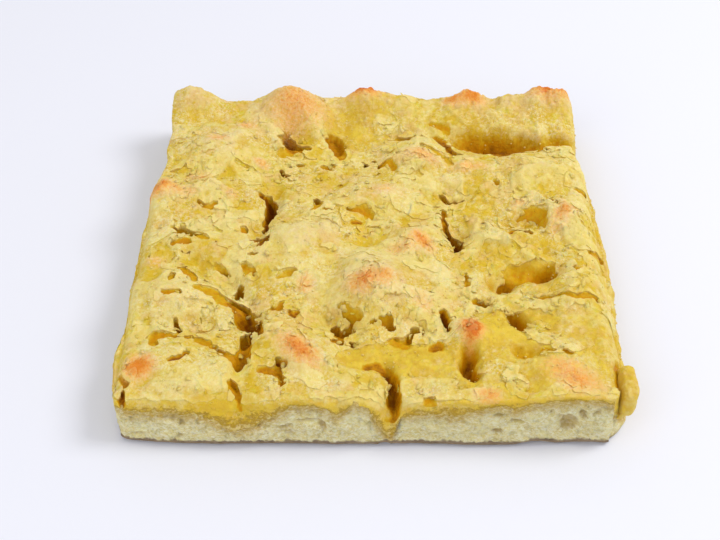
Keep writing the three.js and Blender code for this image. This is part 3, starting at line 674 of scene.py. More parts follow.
def detailedTop(x, y):
    wx, wy = (v + topping["warp"] * layered(x, y, topping["warpLength"], seed)
              for v, seed in ((x, 131), (y, 137)))
    depth = holeDepth(wx, wy, topping["steep"])
    quiet = sample(calm, x, y)
    crumbs = cellsAt(x + 0.3 * noise(x, y, 1.5, 145), y, topping["grainWidth"], 149)
    grain = topping["grain"][0] * crumbs["value"] + topping["grain"][1] * np.minimum(crumbs["border"], 0.5)
    coarse = sample(grainMap, x, y)
    grain = (grain * mix(0.5, 1, sample(dryMap, x, y)) - 0.4) * coarse
    a, b, c = topping["fine"]
    fine = a * layered(x, y, 3.2, 141) + b * noise(x, y, 1.3, 147) + c * layered(x, y, 5.5, 143) * quiet
    fine = fine * (0.5 + 0.5 * coarse)
    top = cake["level"] + moundRise(x, y) + bumpsAt(x, y) - depth - edgeFall(x, y) + fine + grain
    top = nearFront(x, y, top)
    covered = smooth(sample(coverMap, x, y), -0.45, 0.4)
    under, groove = sample(filmMap, x, y), sample(tearGroove, x, y)
    top = np.minimum(top, mix(top, under - groove, np.clip(groove, 0, 1)))
    top = np.maximum(mix(top, under, covered), under - sample(crackMap, x, y))
    return np.maximum(cake["lowest"] - 1.5, top)


def outlineOf(cells):  # points round the cake, with the way out, the share of rim and the height of the seam
    s = crowded(cells)
    gridS, gridT = np.meshgrid(s, s)
    x, y = plan(ringOf(gridS), ringOf(gridT))
    dx, dy = np.roll(x, -1) - np.roll(x, 1), np.roll(y, -1) - np.roll(y, 1)
    length = np.hypot(dx, dy)
    outX, outY = dy / length, -dx / length
    for _ in range(4):  # soften the fine wobble of the normals
        outX = (np.roll(outX, 1) + outX + np.roll(outX, -1)) / 3
        outY = (np.roll(outY, 1) + outY + np.roll(outY, -1)) / 3
    length = np.hypot(outX, outY)
    step = np.hypot(np.roll(x, -1) - x, np.roll(y, -1) - y)
    along = np.concatenate([[0], np.cumsum(step)[:-1]])
    side = dict(x=x, y=y, outX=outX / length, outY=outY / length, rim=rimShare(x, y), along=along)
    side["ahead"] = smooth(-side["outY"], 0.55, 0.9)
    side["seam"] = seamHeight(side)
    return side


def seamHeight(side):
    x, y = side["x"], side["y"]
    waver = toppingEdge["waver"] * noise(x, y, toppingEdge["waverLength"], 41)
    edge = mix(toppingEdge["cut"], toppingEdge["rim"], side["rim"]) + waver
    edge = np.minimum(edge, lowestNear(x, y, toppingEdge["sideReach"]) - toppingEdge["least"])
    cut = np.interp(x, front["x"], front["seam"]) + front["seamRough"] * layered(x, y, 2.6, 73)
    cut = cut + 0.4 * noise(x, y, 0.8, 75)
    cut = np.minimum(cut, np.interp(x, front["x"], front["top"]) - front["least"])
    return mix(edge, cut, side["ahead"])


def sideReach(side, z):  # how far the sides stand out at one height
    share = np.clip(z / toppingEdge["cut"], 0, 1)
    bow = np.sin(math.pi * share)
    bulge = doughSide["rimBulge"] * bow
    rough = doughSide["cutRoughness"] * noise(side["x"] + side["y"], z * 2, doughSide["roughLength"], 47)
    rough = rough * bow
    swell = belly["reach"] * np.exp(-(((side["x"] - belly["at"]) / belly["half"]) ** 4)) * side["ahead"]
    swell = swell * np.sin(math.pi * np.clip(z / belly["height"], 0, 1))
    atFoot = np.where(side["x"] > 0, np.exp(-(((side["y"] - foot["at"]) / foot["half"]) ** 4)), 0)
    toe = foot["reach"] * atFoot * side["rim"] * (1 - smooth(z, foot["height"] / 2, foot["height"]))
    slant = doughSide["slant"] * side["ahead"] * (1 - np.clip(z / doughSide["slantHeight"], 0, 1))
    slant = slant * mix(1, 0.4, smooth(side["x"], 35, 60)) * mix(0.35, 1, smooth(side["x"], -78, -62))
    return mix(rough + swell, bulge, side["rim"]) + toe + slant


def ringAt(side, reach, height):
    return np.stack([side["x"] + side["outX"] * reach, side["y"] + side["outY"] * reach, height], 1)


# the surface between the dough and the topping, which nothing shows, and the smoothed top that hollows
# are measured from
hiddenS, hiddenT = np.meshgrid(crowded(28), crowded(28))
hiddenX, hiddenY = plan(hiddenS[1:-1, 1:-1], hiddenT[1:-1, 1:-1])
hiddenZ = lowestNear(hiddenX, hiddenY, toppingEdge["hiddenReach"]) - toppingEdge["least"]
aroundMap = blur(topOver(0.35), 1.6)


def fieldsAt(points):  # what the materials of the topping and the film read
    x, y, z = points[:, 0], points[:, 1], points[:, 2]
    maps = dict(toast=toastMap, red=redMap, rise=riseMap / 8, low=aroundMap, tone=flakeTone, dry=dryMap)
    fields = {key: sample(values, x, y) for key, values in maps.items()}
    torn = smooth(sample(filmMap, x, y) - z, 0.1, 0.7) * smooth(sample(tearAway, x, y), 0.5, -0.1)
    # low, how far a place lies below the smoothed top, drives the depth tints: partly browned butter, partly
    # painted shade
    look, sunk, shade = tornLook, fields["low"] - z, sample(tearShade, x, y)
    inside = look["least"] + look["darker"] * shade ** look["curve"] + look["byDepth"] * sunk
    fields["low"] = mix(sunk, inside, torn)
    return fields


def makeTopping():
    s = crowded(topping["cells"])
    gridS, gridT = np.meshgrid(s, s)
    x, y = plan(gridS, gridT)
    z = detailedTop(x, y)
    count = x.size
    rows = np.arange(count).reshape(x.shape)
    points = [np.stack([x.ravel(), y.ravel(), z.ravel()], 1)]
    faces = [gridFaces(rows)]
    upper, topEdge = ringOf(rows), ringOf(z)
    side = outlineOf(topping["cells"])
    seam = np.minimum(side["seam"], topEdge - 0.4)
    for k in range(1, topping["sideRows"] + 2):
        share = min(k / topping["sideRows"], 1)
        height = mix(topEdge, seam, share)
        big, small = topping["knobs"]
        stretched = height * 1.2
        knobs = big * layered(side["along"], stretched, 4, 151)
        knobs = knobs + small * layered(side["along"], stretched, 1.5, 153)
        knobs = knobs * math.sin(math.pi * min(share * 1.05, 1)) ** 0.5 * (1 - 0.65 * side["ahead"])
        reach = sideReach(side, height) * smooth(share, 0, 0.25) + knobs
        reach = reach + topping["lip"] * side["ahead"] * share
        tucked = k > topping["sideRows"]  # the last ring turns in, so no gap shows at the seam
        points.append(ringAt(side, reach - topping["tuck"] * tucked, height + topping["lip"] * tucked))
        lower = np.arange(len(seam)) + count
        count += len(seam)
        faces.append(bandFaces(upper, lower))
        upper = lower
    inner = np.arange(hiddenX.size).reshape(hiddenX.shape) + count
    points.append(np.stack([hiddenX.ravel(), hiddenY.ravel(), hiddenZ.ravel()], 1))
    points = np.concatenate(points)
    faceList = np.concatenate(faces).tolist() + gridFaces(inner, True).tolist()
    faceList += stitchFaces(upper, ringOf(inner), True)
    fields = fieldsAt(points)
    fields["low"][x.size:] = topping["sideLow"]  # the sides are neither high nor deep
    sides = slice(x.size, -hiddenX.size)
    fields["dry"][sides] *= np.tile(mix(*topping["sideDry"], side["ahead"]), topping["sideRows"] + 1)
    shares = np.minimum(np.arange(1, topping["sideRows"] + 2) / topping["sideRows"], 1)
    fields["toast"][sides] *= np.repeat(mix(1, topping["sideToast"], smooth(shares, 0, 0.6)), len(seam))
    faded = [share * side["ahead"] for share in shares]
    fields["crumby"] = np.concatenate([np.zeros(x.size), *faded, np.zeros(hiddenX.size)])
    return meshFrom("butter_topping", points, faceList, fields)


toppingPiece = makeTopping()
print("topping made,", triangleCount(toppingPiece), "triangles")


# the dry film and its flakes are thin, torn sheets that lie on the topping
film = dict(step=0.42, band=2.6, lift=0.12, sink=0.6, thick=(0.35, 0.8), curl=0.2, curlLength=5,
            curlReach=0.9)
sheets = dict(edgeWidth=1.2, thinEdge=0.45, into=0.3, thicker=0.6, paleEdge=0.6, curlLength=6, curlReach=1.1,
              dimple=0.12, dimpleLength=2.2, ragged=[(1.4, 5, 0), (0.7, 1.7, 4)], crowdReach=2.5, atLumps=0.7,
              undersidePaintedShade=3, sharpAngle=55)
flakeLayers = [
    dict(name="sugar_flakes_wide", seed=311, spacing=9.5, jitter=0.46, keep=0.04, crowd=0.25, step=0.5,
         margin=-0.7, vary=1.8, cover=-0.1, least=6, lift=0.05, liftVary=0.2, tilt=0.04, curl=0.3,
         ragged=1.2, thick=0.8),
    dict(name="sugar_flakes_small", seed=331, spacing=4.6, jitter=0.48, keep=0.04, crowd=0.3, step=0.42,
         margin=-0.3, vary=0.9, cover=-0.5, least=1.2, lift=0.06, liftVary=0.3, tilt=0.17, curl=0.3,
         ragged=0.7, thick=0.6),
]


def halved(quads):
    return np.concatenate([quads[:, [0, 1, 2]], quads[:, [0, 2, 3]]])


def clipNet(points, triangles, field):  # keeps the part of a net where the field is over 0
    inside = field[triangles] > 0
    total = inside.sum(1)
    kept = [triangles[total == 3]]
    newPoints, newKeys = [], []

    def cut(a, b):
        t = np.clip(field[a] / (field[a] - field[b]), 0.04, 0.96)
        newPoints.append(points[a] + (points[b] - points[a]) * t[:, None])
        newKeys.append(np.minimum(a, b) * len(points) + np.maximum(a, b))
        return np.arange(len(a)) + sum(len(k) for k in newKeys[:-1]) + len(points)

    for wanted, odd in ((1, inside), (2, ~inside)):
        chosen = triangles[total == wanted]
        if not len(chosen):
            continue
        first = odd[total == wanted].argmax(1)
        a, b, c = (chosen[np.arange(len(chosen)), (first + k) % 3] for k in range(3))
        if wanted == 1:
            kept.append(np.stack([a, cut(a, b), cut(a, c)], 1))
        else:
            ab, ac = cut(b, a), cut(c, a)
            kept += [np.stack([ab, b, c], 1), np.stack([ab, c, ac], 1)]
    net = np.concatenate(kept)
    if newKeys:
        _, firstAt, back = np.unique(np.concatenate(newKeys), return_index=True, return_inverse=True)
        points = np.concatenate([points, np.concatenate(newPoints)[firstAt]])
        base = len(field)
        net = np.where(net >= base, back[np.maximum(net - base, 0)] + base, net)
    used, back = np.unique(net, return_inverse=True)
    return points[used], back.reshape(net.shape)


def seedsOf(layer):  # the middles of one layer's flakes, on a shaken triangular lattice
    spacing, jitter, seed = layer["spacing"], layer["jitter"], layer["seed"]
    rowHeight = spacing * math.sqrt(0.75)
    rows, columns = math.ceil(80 / rowHeight), math.ceil(84 / spacing)
    seeds = []
    for j in range(-rows, rows + 1):
        for i in range(-columns, columns + 1):
            x = (i + (0.5 if j % 2 else 0) + jitter * (2 * chance(i, j, seed) - 1)) * spacing
            y = j * rowHeight + jitter * spacing * (2 * chance(i, j, seed + 1) - 1)
            seeds.append((float(x), float(y)))
    return np.array(seeds)


def sheetNet(layer, seeds, k):  # one sheet in plan, as a net whose third value is how far its edge is
    step, reach, seed = layer["step"], layer["spacing"] * 1.3 + 1.5, layer["seed"]
    count = int(2 * reach / step)
    cx, cy = seeds[k]
    line = np.arange(count + 1) * step - reach
    x, y = np.meshgrid(cx + line, cy + line)
    x, y = x.ravel(), y.ravel()
    field = sample(coverMap, x, y) - layer["cover"]
    if field.max() < 0:
        return None
    shiftX, shiftY = (sum(size * layered(x, y, length, seed + n + k) for size, length, k in sheets["ragged"])
                      for n in (3, 5))
    wx, wy = x + layer["ragged"] * shiftX, y + layer["ragged"] * shiftY
    mine = np.hypot(wx - cx, wy - cy)
    near = seeds[np.hypot(seeds[:, 0] - cx, seeds[:, 1] - cy) < 3 * layer["spacing"]]
    others = np.full(x.shape, np.inf)
    for ox, oy in near:
        if (ox, oy) != (cx, cy):
            others = np.minimum(others, np.hypot(wx - ox, wy - oy))
    border = (others - mine) / 2 + layer["margin"]
    border = border + layer["vary"] * noise(x, y, layer["spacing"] * 0.6, seed + 11)
    field = np.minimum.reduce([field, border, trueInside(x, y) - 0.6])
    if not (field > 0).any():
        return None
    triangles = halved(gridFaces(np.arange(len(x)).reshape(count + 1, count + 1)))
    points, net = clipNet(np.stack([x, y, field], 1), triangles, field)
    a, b, c = (points[net[:, k], :2] for k in range(3))
    area = 0.5 * np.abs((b - a)[:, 0] * (c - a)[:, 1] - (b - a)[:, 1] * (c - a)[:, 0]).sum()
    return (points, net) if area > layer["least"] else None


def sheetParts(x, y, z, thick, fromEdge, net):  # top, underside and rim of one sheet
    n = len(x)
    thick = np.clip(z - detailedTop(x, y) + sheets["into"], thick, thick + sheets["thicker"])
    edges = np.concatenate([net[:, [0, 1]], net[:, [1, 2]], net[:, [2, 0]]])
    rim = edges[~np.isin(edges[:, 0] * n + edges[:, 1], edges[:, 1] * n + edges[:, 0])]
    skirt = np.stack([rim[:, 0], rim[:, 0] + n, rim[:, 1] + n, rim[:, 1]], 1)
    points = np.concatenate([np.stack([x, y, z], 1), np.stack([x, y, z - thick], 1)])
    return points, [net, net[:, ::-1] + n, skirt], np.tile(np.exp(-fromEdge / sheets["paleEdge"]), 2)


def sheetPiece(name, points, faces, edge, tint, below):
    fields = dict(fieldsAt(points), tint=tint, edge=edge)
    # painted shade: the undersides of the sheets, and their rims towards them, are coloured amber as if deep
    # in a hollow
    fields["low"] = np.where(below, np.maximum(fields["low"], sheets["undersidePaintedShade"]), fields["low"])
    piece = meshFrom(name, points, faces, fields)
    piece.data.set_sharp_from_angle(angle=math.radians(sheets["sharpAngle"]))
    print(name, "made,", triangleCount(piece), "triangles")
    return piece


def makeFilm(name, low, high):  # only its torn edges: further in, the film is one with the topping
    step = film["step"]
    x, y = np.meshgrid(np.arange(-79, 79, step), np.arange(low, high + step / 2, step))
    triangles = halved(gridFaces(np.arange(x.size).reshape(x.shape)))
    x, y = x.ravel(), y.ravel()
    cover, edgeAway = sample(coverMap, x, y), trueInside(x, y) - 0.5
    field = np.minimum.reduce([cover, film["band"] - cover, edgeAway])
    points, net = clipNet(np.stack([x, y, np.minimum(cover, edgeAway)], 1), triangles, field)
    x, y, fromEdge = points[:, 0], points[:, 1], np.clip(points[:, 2], 0, None)
    sunk = film["sink"] * smooth(fromEdge, 0.5 * film["band"], film["band"])
    z = sample(filmMap, x, y) + film["lift"] - sunk
    z = z + film["curl"] * noise(x, y, film["curlLength"], 221) * np.exp(-fromEdge / film["curlReach"])
    thick = mix(*film["thick"], np.clip(fromEdge / sheets["edgeWidth"], 0, 1))
    points, faces, edge = sheetParts(x, y, z, thick, fromEdge, net)
    faces = [f for part in faces for f in part.tolist()]
    return sheetPiece(name, points, faces, edge, np.full(len(points), 0.5), np.arange(len(points)) >= len(x))


def makeFlakes(layer):
    seeds, seed = seedsOf(layer), layer["seed"]
    points, faces, tint, edge, below, count = [], [], [], [], [], 0
    for k in range(len(seeds)):
        odds = [float(chance(k, n, seed)) for n in range(1, 8)]
        cx, cy = seeds[k]
        crowd = math.exp(-abs(float(sample(coverMap, cx, cy))) / sheets["crowdReach"])  # at the film's edges
        wanted = odds[0] < layer["keep"] + layer["crowd"] * (crowd + sheets["atLumps"] * lumpyAt(cx, cy))
        made = sheetNet(layer, seeds, k) if wanted else None
        if made is None:
            continue
        flat, net = made
        x, y, fromEdge = flat[:, 0], flat[:, 1], np.maximum(flat[:, 2], 0)
        turn, tilt = 2 * math.pi * odds[1], layer["tilt"] * odds[2]
        curl = layer["curl"] * noise(x, y, sheets["curlLength"], seed + 15) * odds[3]
        z = sample(filmMap, x, y) + layer["lift"] + layer["liftVary"] * odds[4]
        z = z + tilt * ((x - x.mean()) * math.cos(turn) + (y - y.mean()) * math.sin(turn))
        z = z + curl * np.exp(-fromEdge / sheets["curlReach"])
        z = z + sheets["dimple"] * layered(x, y, sheets["dimpleLength"], seed + 13)
        thick = layer["thick"] * mix(sheets["thinEdge"], 1, np.clip(fromEdge / sheets["edgeWidth"], 0, 1))
        newPoints, newFaces, newEdge = sheetParts(x, y, z, thick, fromEdge, net)
        points.append(newPoints)
        for part in newFaces:
            faces += (part + count).tolist()
        tint.append(np.full(len(newPoints), odds[5]))
        edge.append(newEdge)
        below.append(np.arange(len(newPoints)) >= len(x))
        count += len(newPoints)
    edge, tint, below = (np.concatenate(v) for v in (edge, tint, below))
    return sheetPiece(layer["name"], np.concatenate(points), faces, edge, tint, below)


filmStrips = dict(sugar_film_front=(-76, -24), sugar_film_middle=(-24, 24), sugar_film_back=(24, 76))
filmPieces = [makeFilm(name, *reach) for name, reach in filmStrips.items()]
filmPieces += [makeFlakes(layer) for layer in flakeLayers]


# the peeled tongue at the right front corner
tongue = dict(at=(75.6, -65, 12.4), half=(2.9, 7.4, 7.2), lean=4, box=0.66, rings=60, slices=90,
              knobs=(0.8, 0.4), lowFold=(1.2, 1.3), highFold=(1.1, 1.2), lowInwards=2.2, highOutwards=0.8,
              low=0.4, dry=0.45)


def makeTongue():
    rings, slices = tongue["rings"], tongue["slices"]
    polar, turn = math.pi * np.arange(1, rings) / rings, 2 * math.pi * np.arange(slices) / slices
    polar, turn = np.meshgrid(polar, turn, indexing="ij")
    ball = np.stack([np.sin(polar) * np.cos(turn), np.sin(polar) * np.sin(turn), np.cos(polar)], -1)
    ball = np.concatenate([ball.reshape(-1, 3), [[0, 0, 1.0], [0, 0, -1.0]]])
    points = np.sign(ball) * np.abs(ball) ** tongue["box"] * np.array(tongue["half"])
    along, up = points[:, 1], points[:, 2]
    (big, small), (depth, width) = tongue["knobs"], tongue["lowFold"]
    swell = big * layered(along + 0.6 * points[:, 0], up, 6, 161)
    swell = swell + small * layered(along, up + points[:, 0], 2, 163)
    swell = swell - depth * np.exp(-(((up + 5 + 0.15 * along) / width) ** 2))
    depth, width = tongue["highFold"]
    swell = swell - depth * np.exp(-(((up - 1 - 0.5 * along) / width) ** 2)) * smooth(along, -2, 3)
    points = points + ball * swell[:, None]
    points[:, 0] -= tongue["lowInwards"] * smooth(-up, 2, 9) - tongue["highOutwards"] * smooth(up, 3, 9)
    grid = np.arange((rings - 1) * slices).reshape(rings - 1, slices)
    faces = np.concatenate([bandFaces(grid[i], grid[i + 1]) for i in range(rings - 2)]).tolist()
    top, bottom = len(points) - 2, len(points) - 1
    faces += [(top, int(grid[0][j]), int(grid[0][(j + 1) % slices])) for j in range(slices)]
    faces += [(bottom, int(grid[-1][(j + 1) % slices]), int(grid[-1][j])) for j in range(slices)]
    lean = math.radians(tongue["lean"])
    x = points[:, 0] * math.cos(lean) + points[:, 2] * math.sin(lean)
    z = points[:, 2] * math.cos(lean) - points[:, 0] * math.sin(lean)
    points = np.stack([x, points[:, 1], z], 1) + np.array(tongue["at"])
    fields = fieldsAt(points)
    # painted shade and highlight: the tongue's folds are coloured deeper and its knobs lighter, by how far
    # they swell
    fields["low"] = tongue["low"] - swell * 0.8
    fields["dry"][:] = tongue["dry"]
    return meshFrom("topping_tongue", points, faces, fields)


tonguePiece = makeTongue()
print("tongue made,", triangleCount(tonguePiece), "triangles")


# the dough, with its open crumb on the cuts
dough = dict(cells=400, rows=42, boardGap=0.05, tuck=0.5, bigPores=(2.1, 0.7), smallPores=(1.05, 0.5),
             waves=0.35, roughness=0.22, forward=0.45, crustHeight=1.1, stainHeight=2.5)

# large pores on the cut front: middle along x and up, half width, half height, turn, depth
pores = spots("at half turn depth", [
    ((38, 12.5), (2.2, 0.8), 0, 2.2),
    ((43, 10.4), (2, 0.6), 0, 1.6),
    ((37.5, 6.5), (1.7, 1.1), 0, 2.4),
    ((58.5, 9), (2.8, 3.2), 20, 2.6),
    ((62, 13), (1.2, 2.2), 30, 1.6),
    ((66.5, 13.5), (1.5, 2), 0, 1.3),
    ((53, 14), (0.8, 0.8), 0, 1.4),
    ((-14, 8.5), (1, 2), 20, 1.8),
    ((-19, 10.5), (4, 0.5), 0, 1.3),
    ((-26, 7), (6, 3), 0, 0.9),
    ((-57, 11.5), (3.5, 2.2), 0, 0.9),
    ((-55.5, 9), (1, 1), 0, 1.4),
    ((-56.5, 4), (1.2, 1.2), 0, 1.5),
    ((-70, 10), (1, 1), 0, 1.4),
    ((-69, 4), (2.5, 0.9), 0, 1.2),
    ((-33, 9), (1.5, 1), 0, 1.2),
])

# places where the underside is lifted at the front: along x, half width, height
arches = [(4, 2.6, 2.2), (18, 3, 1.2), (49, 7, 2.4), (64, 9, 1.8), (-48, 4, 0.6), (-8, 3, 0.8)]


def footHeight(side):  # how high the lower edge lies above the table
    lift = doughSide["lift"] * (1 + noise(side["x"], side["y"], doughSide["liftLength"], 53)) / 2
    lift = lift * (1 - 0.7 * side["ahead"]) + dough["crustHeight"] * side["ahead"]
    for at, half, height in arches:
        lift = np.maximum(lift, height * np.exp(-(((side["x"] - at) / half) ** 2)) * side["ahead"])
    return np.maximum(lift + 0.15 * layered(side["along"], 0, 2.5, 171), 0.02)


def crumbDepth(side, height):  # how deep the open crumb is eaten in, at one height round the side
    along = side["along"] + 0.5 * layered(side["along"], height, 1.5, 177)
    up = height + 0.4 * layered(side["along"], height, 1.5, 179)
    (bigWidth, bigDepth), (smallWidth, smallDepth) = dough["bigPores"], dough["smallPores"]
    big, small = cellsAt(along * 0.8, up, bigWidth, 181), cellsAt(along * 0.85, up, smallWidth, 187)
    depth = smooth(big["value"], 0.6, 1) * smooth(big["border"], 0.05, 0.6) * bigDepth
    depth = depth + smooth(small["value"], 0.2, 1) * smooth(small["border"], 0, 0.3) * smallDepth
    depth = depth + dough["waves"] * layered(along * 0.6, up, 2.2, 197)
    depth = depth + dough["roughness"] * noise(along, up, 0.7, 199)
    for pore in pores:
        depth = depth + pore["depth"] * np.exp(-(reachOf(pore, side["x"], height) ** 3)) * side["ahead"]
    return depth


def makeDough():
    side = outlineOf(dough["cells"])
    inner = np.arange(hiddenX.size).reshape(hiddenX.shape)
    points = [np.stack([hiddenX.ravel(), hiddenY.ravel(), hiddenZ.ravel() - 0.3], 1)]
    count, upper = hiddenX.size, None
    low = footHeight(side)
    faceList = gridFaces(inner).tolist()
    fields = {key: [np.zeros(count)] for key in ("pit", "stain", "crust")}
    for k in range(-1, dough["rows"] + 1):
        share = max(k, 0) / dough["rows"]
        height = mix(side["seam"] + 0.1, low, share) + (dough["tuck"] if k < 0 else 0)
        fade = smooth(share, 0, 0.12) * (1 - smooth(share, 0.96, 1))
        depth = crumbDepth(side, height) * fade * (1 - 0.85 * side["rim"])
        reach = sideReach(side, height) - depth + dough["forward"] * side["ahead"] - (1 if k < 0 else 0.15)
        points.append(ringAt(side, reach, height))
        under = side["seam"] - height + 0.8 * layered(side["along"], height, 2, 201)
        over = low + dough["crustHeight"] + 0.5 * layered(side["along"], 0, 3, 203) - height
        fields["pit"].append(depth)
        fields["stain"].append(np.exp(-(under / dough["stainHeight"]) ** 2))
        fields["crust"].append(smooth(over, -0.3, 0.3) * (1 - side["rim"]))
        lower = np.arange(len(height)) + count
        count += len(height)
        faceList += stitchFaces(lower, ringOf(inner)) if upper is None else bandFaces(upper, lower).tolist()
        upper = lower
    x, y = plan(hiddenS * doughSide["flatShare"], hiddenT * doughSide["flatShare"])
    flat = np.arange(x.size).reshape(x.shape) + count
    points.append(np.stack([x.ravel(), y.ravel(), np.full(x.size, dough["boardGap"])], 1))
    faceList += stitchFaces(upper, ringOf(flat), True) + gridFaces(flat, True).tolist()
    for key, value in dict(pit=0, stain=0, crust=1).items():
        fields[key] = np.concatenate([*fields[key], np.full(x.size, value)])
    return meshFrom("crumb_slab", np.concatenate(points), faceList, fields)


doughPiece = makeDough()
print("dough made,", triangleCount(doughPiece), "triangles")


class Painter:  # short calls for the nodes of one material
    def __init__(self, name):
        self.material = bpy.data.materials.new(name)
        self.material.use_nodes = True
        self.tree = self.material.node_tree
        self.tree.nodes.clear()
        self.shader = self.new("BsdfPrincipled")
        self.link(self.shader.outputs["BSDF"], self.new("OutputMaterial").inputs["Surface"])
        self.coords = self.new("TexCoord").outputs["Object"]

    def new(self, kind):
        return self.tree.nodes.new("ShaderNode" + kind)

    def link(self, a, b):
        self.tree.links.new(a, b)

    def put(self, socket, value):
        if isinstance(value, bpy.types.NodeSocket):
            self.link(value, socket)
        else:
            socket.default_value = (*value, 1) if socket.type == "RGBA" else value

    def finish(self, inputs):  # fills the shader's own sockets
        for key, value in inputs.items():
            self.put(self.shader.inputs[key], value)
        return self.material

    def attribute(self, name):
        node = self.new("Attribute")
        node.attribute_name = name
        return node.outputs["Fac"]

    def noise(self, size, detail=4, rough=0.55, distort=0, flat=1.0):  # size in mm
        place, node = self.new("Mapping"), self.new("TexNoise")
        place.inputs["Scale"].default_value = (1, 1, flat)
        self.link(self.coords, place.inputs["Vector"])
        self.link(place.outputs[0], node.inputs["Vector"])
        values = dict(Scale=1 / (size * mm), Detail=detail, Roughness=rough, Distortion=distort)
        for key, value in values.items():
            node.inputs[key].default_value = value
        return node.outputs["Fac"]

    def math(self, operation, a, b):
        node = self.new("Math")
        node.operation = operation
        self.put(node.inputs[0], a)
        self.put(node.inputs[1], b)
        return node.outputs[0]

    def plus(self, a, b):
        return self.math("ADD", a, b)

    def times(self, a, b):
        return self.math("MULTIPLY", a, b)

    def fit(self, value, low, high, newLow=0.0, newHigh=1.0):  # eased, and held beyond both ends
        node = self.new("MapRange")
        node.interpolation_type = "SMOOTHSTEP"
        self.put(node.inputs["Value"], value)
        for key, number in zip(("From Min", "From Max", "To Min", "To Max"), (low, high, newLow, newHigh)):
            node.inputs[key].default_value = number
        return node.outputs[0]

    def blend(self, share, a, b):
        node = self.new("Mix")
        node.data_type = "RGBA"
        self.put(node.inputs["Factor"], share)
        self.put(node.inputs[6], a)
        self.put(node.inputs[7], b)
        return node.outputs[2]

    def bump(self, height, depth, strength, under=None):
        node = self.new("Bump")
        self.put(node.inputs["Height"], height)
        node.inputs["Distance"].default_value = depth * mm
        node.inputs["Strength"].default_value = strength
        if under is not None:
            self.link(under, node.inputs["Normal"])
        return node.outputs[0]


def colour(text):  # a hexadecimal screen colour as linear light
    parts = [int(text[k:k + 2], 16) / 255 for k in (0, 2, 4)]
    return tuple(p / 12.92 if p <= 0.04045 else ((p + 0.055) / 1.055) ** 2.4 for p in parts)


def colours(**texts):
    return {key: colour(text) for key, text in texts.items()}


crustLook = dict(
    **colours(lemonGold="e0c446", gold="d4b038", cream="e3cb66", yellow="dab830", lemon="d9c83e",
              light="ecdd98", shade="c49a2c", dusty="e6c998", honey="d0a612", amber="cc9208",
              brown="8a4e04", peachy="e6c07c", frost="efe5ba", olive="aa8828", bloom="f4dcbc",
              crack="6b5420"),
    shine=0.1, scatter=(1.0, 0.7, 0.25),
)
# patches on the dry crust: colour, size, detail, roughness, where the noise turns, and how strong
crispPatches = [("lemon", 3.2, 4, 0.55, 0.53, 0.66, 0.75), ("light", 2, 5, 0.65, 0.5, 0.64, 0.7),
                ("peachy", 8, 4, 0.6, 0.52, 0.62, 0.6)]
# colours by depth in mm: where each one starts and is full, and its strength at both. Lighter on raised bits
# and darker down in hollows: partly the butter that pooled and browned there, partly painted highlight and
# painted shade
depthTints = [("light", -0.9, -0.2, 0.35, 0), ("honey", 0.5, 2, 0, 0.95), ("amber", 1.6, 3.8, 0, 1),
              ("brown", 3.6, 7.8, 0, 1)]
toastLook = colours(peach="edbb66", orange="e88e24", red="cc5a20")
crumbLook = dict(
    **colours(white="fdf7d6", ivory="f6ebaa", cream="ecdc94", shadow="b4a456", stain="c8a238", pit="b8964a",
              crust="9c866c"),
    roughness=0.85, scatter=(1.0, 0.85, 0.5),
)


def crumbColour(p, paintedHighlight=0.95):  # pale, with fibres and small shaded pores
    look = crumbLook
    base = p.blend(p.fit(p.noise(4, 5), 0.35, 0.65), look["ivory"], look["cream"])
    # painted shade in the small pores and painted highlight on the fibres, in fine noise
    base = p.blend(p.fit(p.noise(1.3, 6, 0.72, 0.5, 2), 0.52, 0.66, 0, 0.45), base, look["shadow"])
    return p.blend(p.fit(p.noise(1.1, 5, 0.7, 0.8, 2.2), 0.46, 0.58, 0, paintedHighlight), base, look["white"])


def crispColour(p):  # the dry crust, lemon, cream and straw in small patches
    look, tone = crustLook, p.attribute("tone")
    patch = p.plus(p.noise(5, 5), p.times(tone, 0.6))
    crisp = p.blend(p.fit(patch, 0.34, 0.64), look["yellow"], look["cream"])
    for key, size, detail, rough, first, last, most in crispPatches:
        crisp = p.blend(p.fit(p.noise(size, detail, rough), first, last, 0, most), crisp, look[key])
    crisp = p.blend(p.fit(tone, 0.2, 0.5, 0, 0.4), crisp, look["light"])
    crisp = p.blend(p.fit(tone, -0.5, -0.2, 0.45, 0), crisp, look["yellow"])
    # pale sugar frost in specks, partly a painted glint of the sugar crystals
    frost = p.times(p.fit(p.noise(0.9, 5, 0.8), 0.46, 0.6), p.fit(p.noise(13, 3), 0.42, 0.58))
    return p.blend(p.times(frost, 0.75), crisp, look["frost"])


def toasted(p, base):  # orange to red where the oven has caught it, speckled, with a pale bloom around
    toast, look = p.attribute("toast"), toastLook
    speckle = p.fit(p.noise(0.8, 4, 0.7), 0.3, 0.7, -0.18, 0.18)
    spotty = p.plus(toast, p.times(speckle, p.fit(toast, 0, 0.4)))
    base = p.blend(p.fit(spotty, 0.08, 0.5, 0, 0.85), base, look["peach"])
    base = p.blend(p.fit(spotty, 0.35, 0.95, 0, 0.95), base, look["orange"])
    base = p.blend(p.times(p.fit(spotty, 0.55, 1.05), p.attribute("red")), base, look["red"])
    bloom = p.times(p.fit(p.noise(1.1, 5, 0.75), 0.42, 0.62, 0, 0.4), p.fit(toast, 0.03, 0.3))
    bloom = p.times(bloom, p.fit(toast, 0.4, 0.85, 1, 0.15))
    return p.blend(p.times(bloom, p.fit(p.attribute("dry"), 0.1, 0.8)), base, crustLook["bloom"])


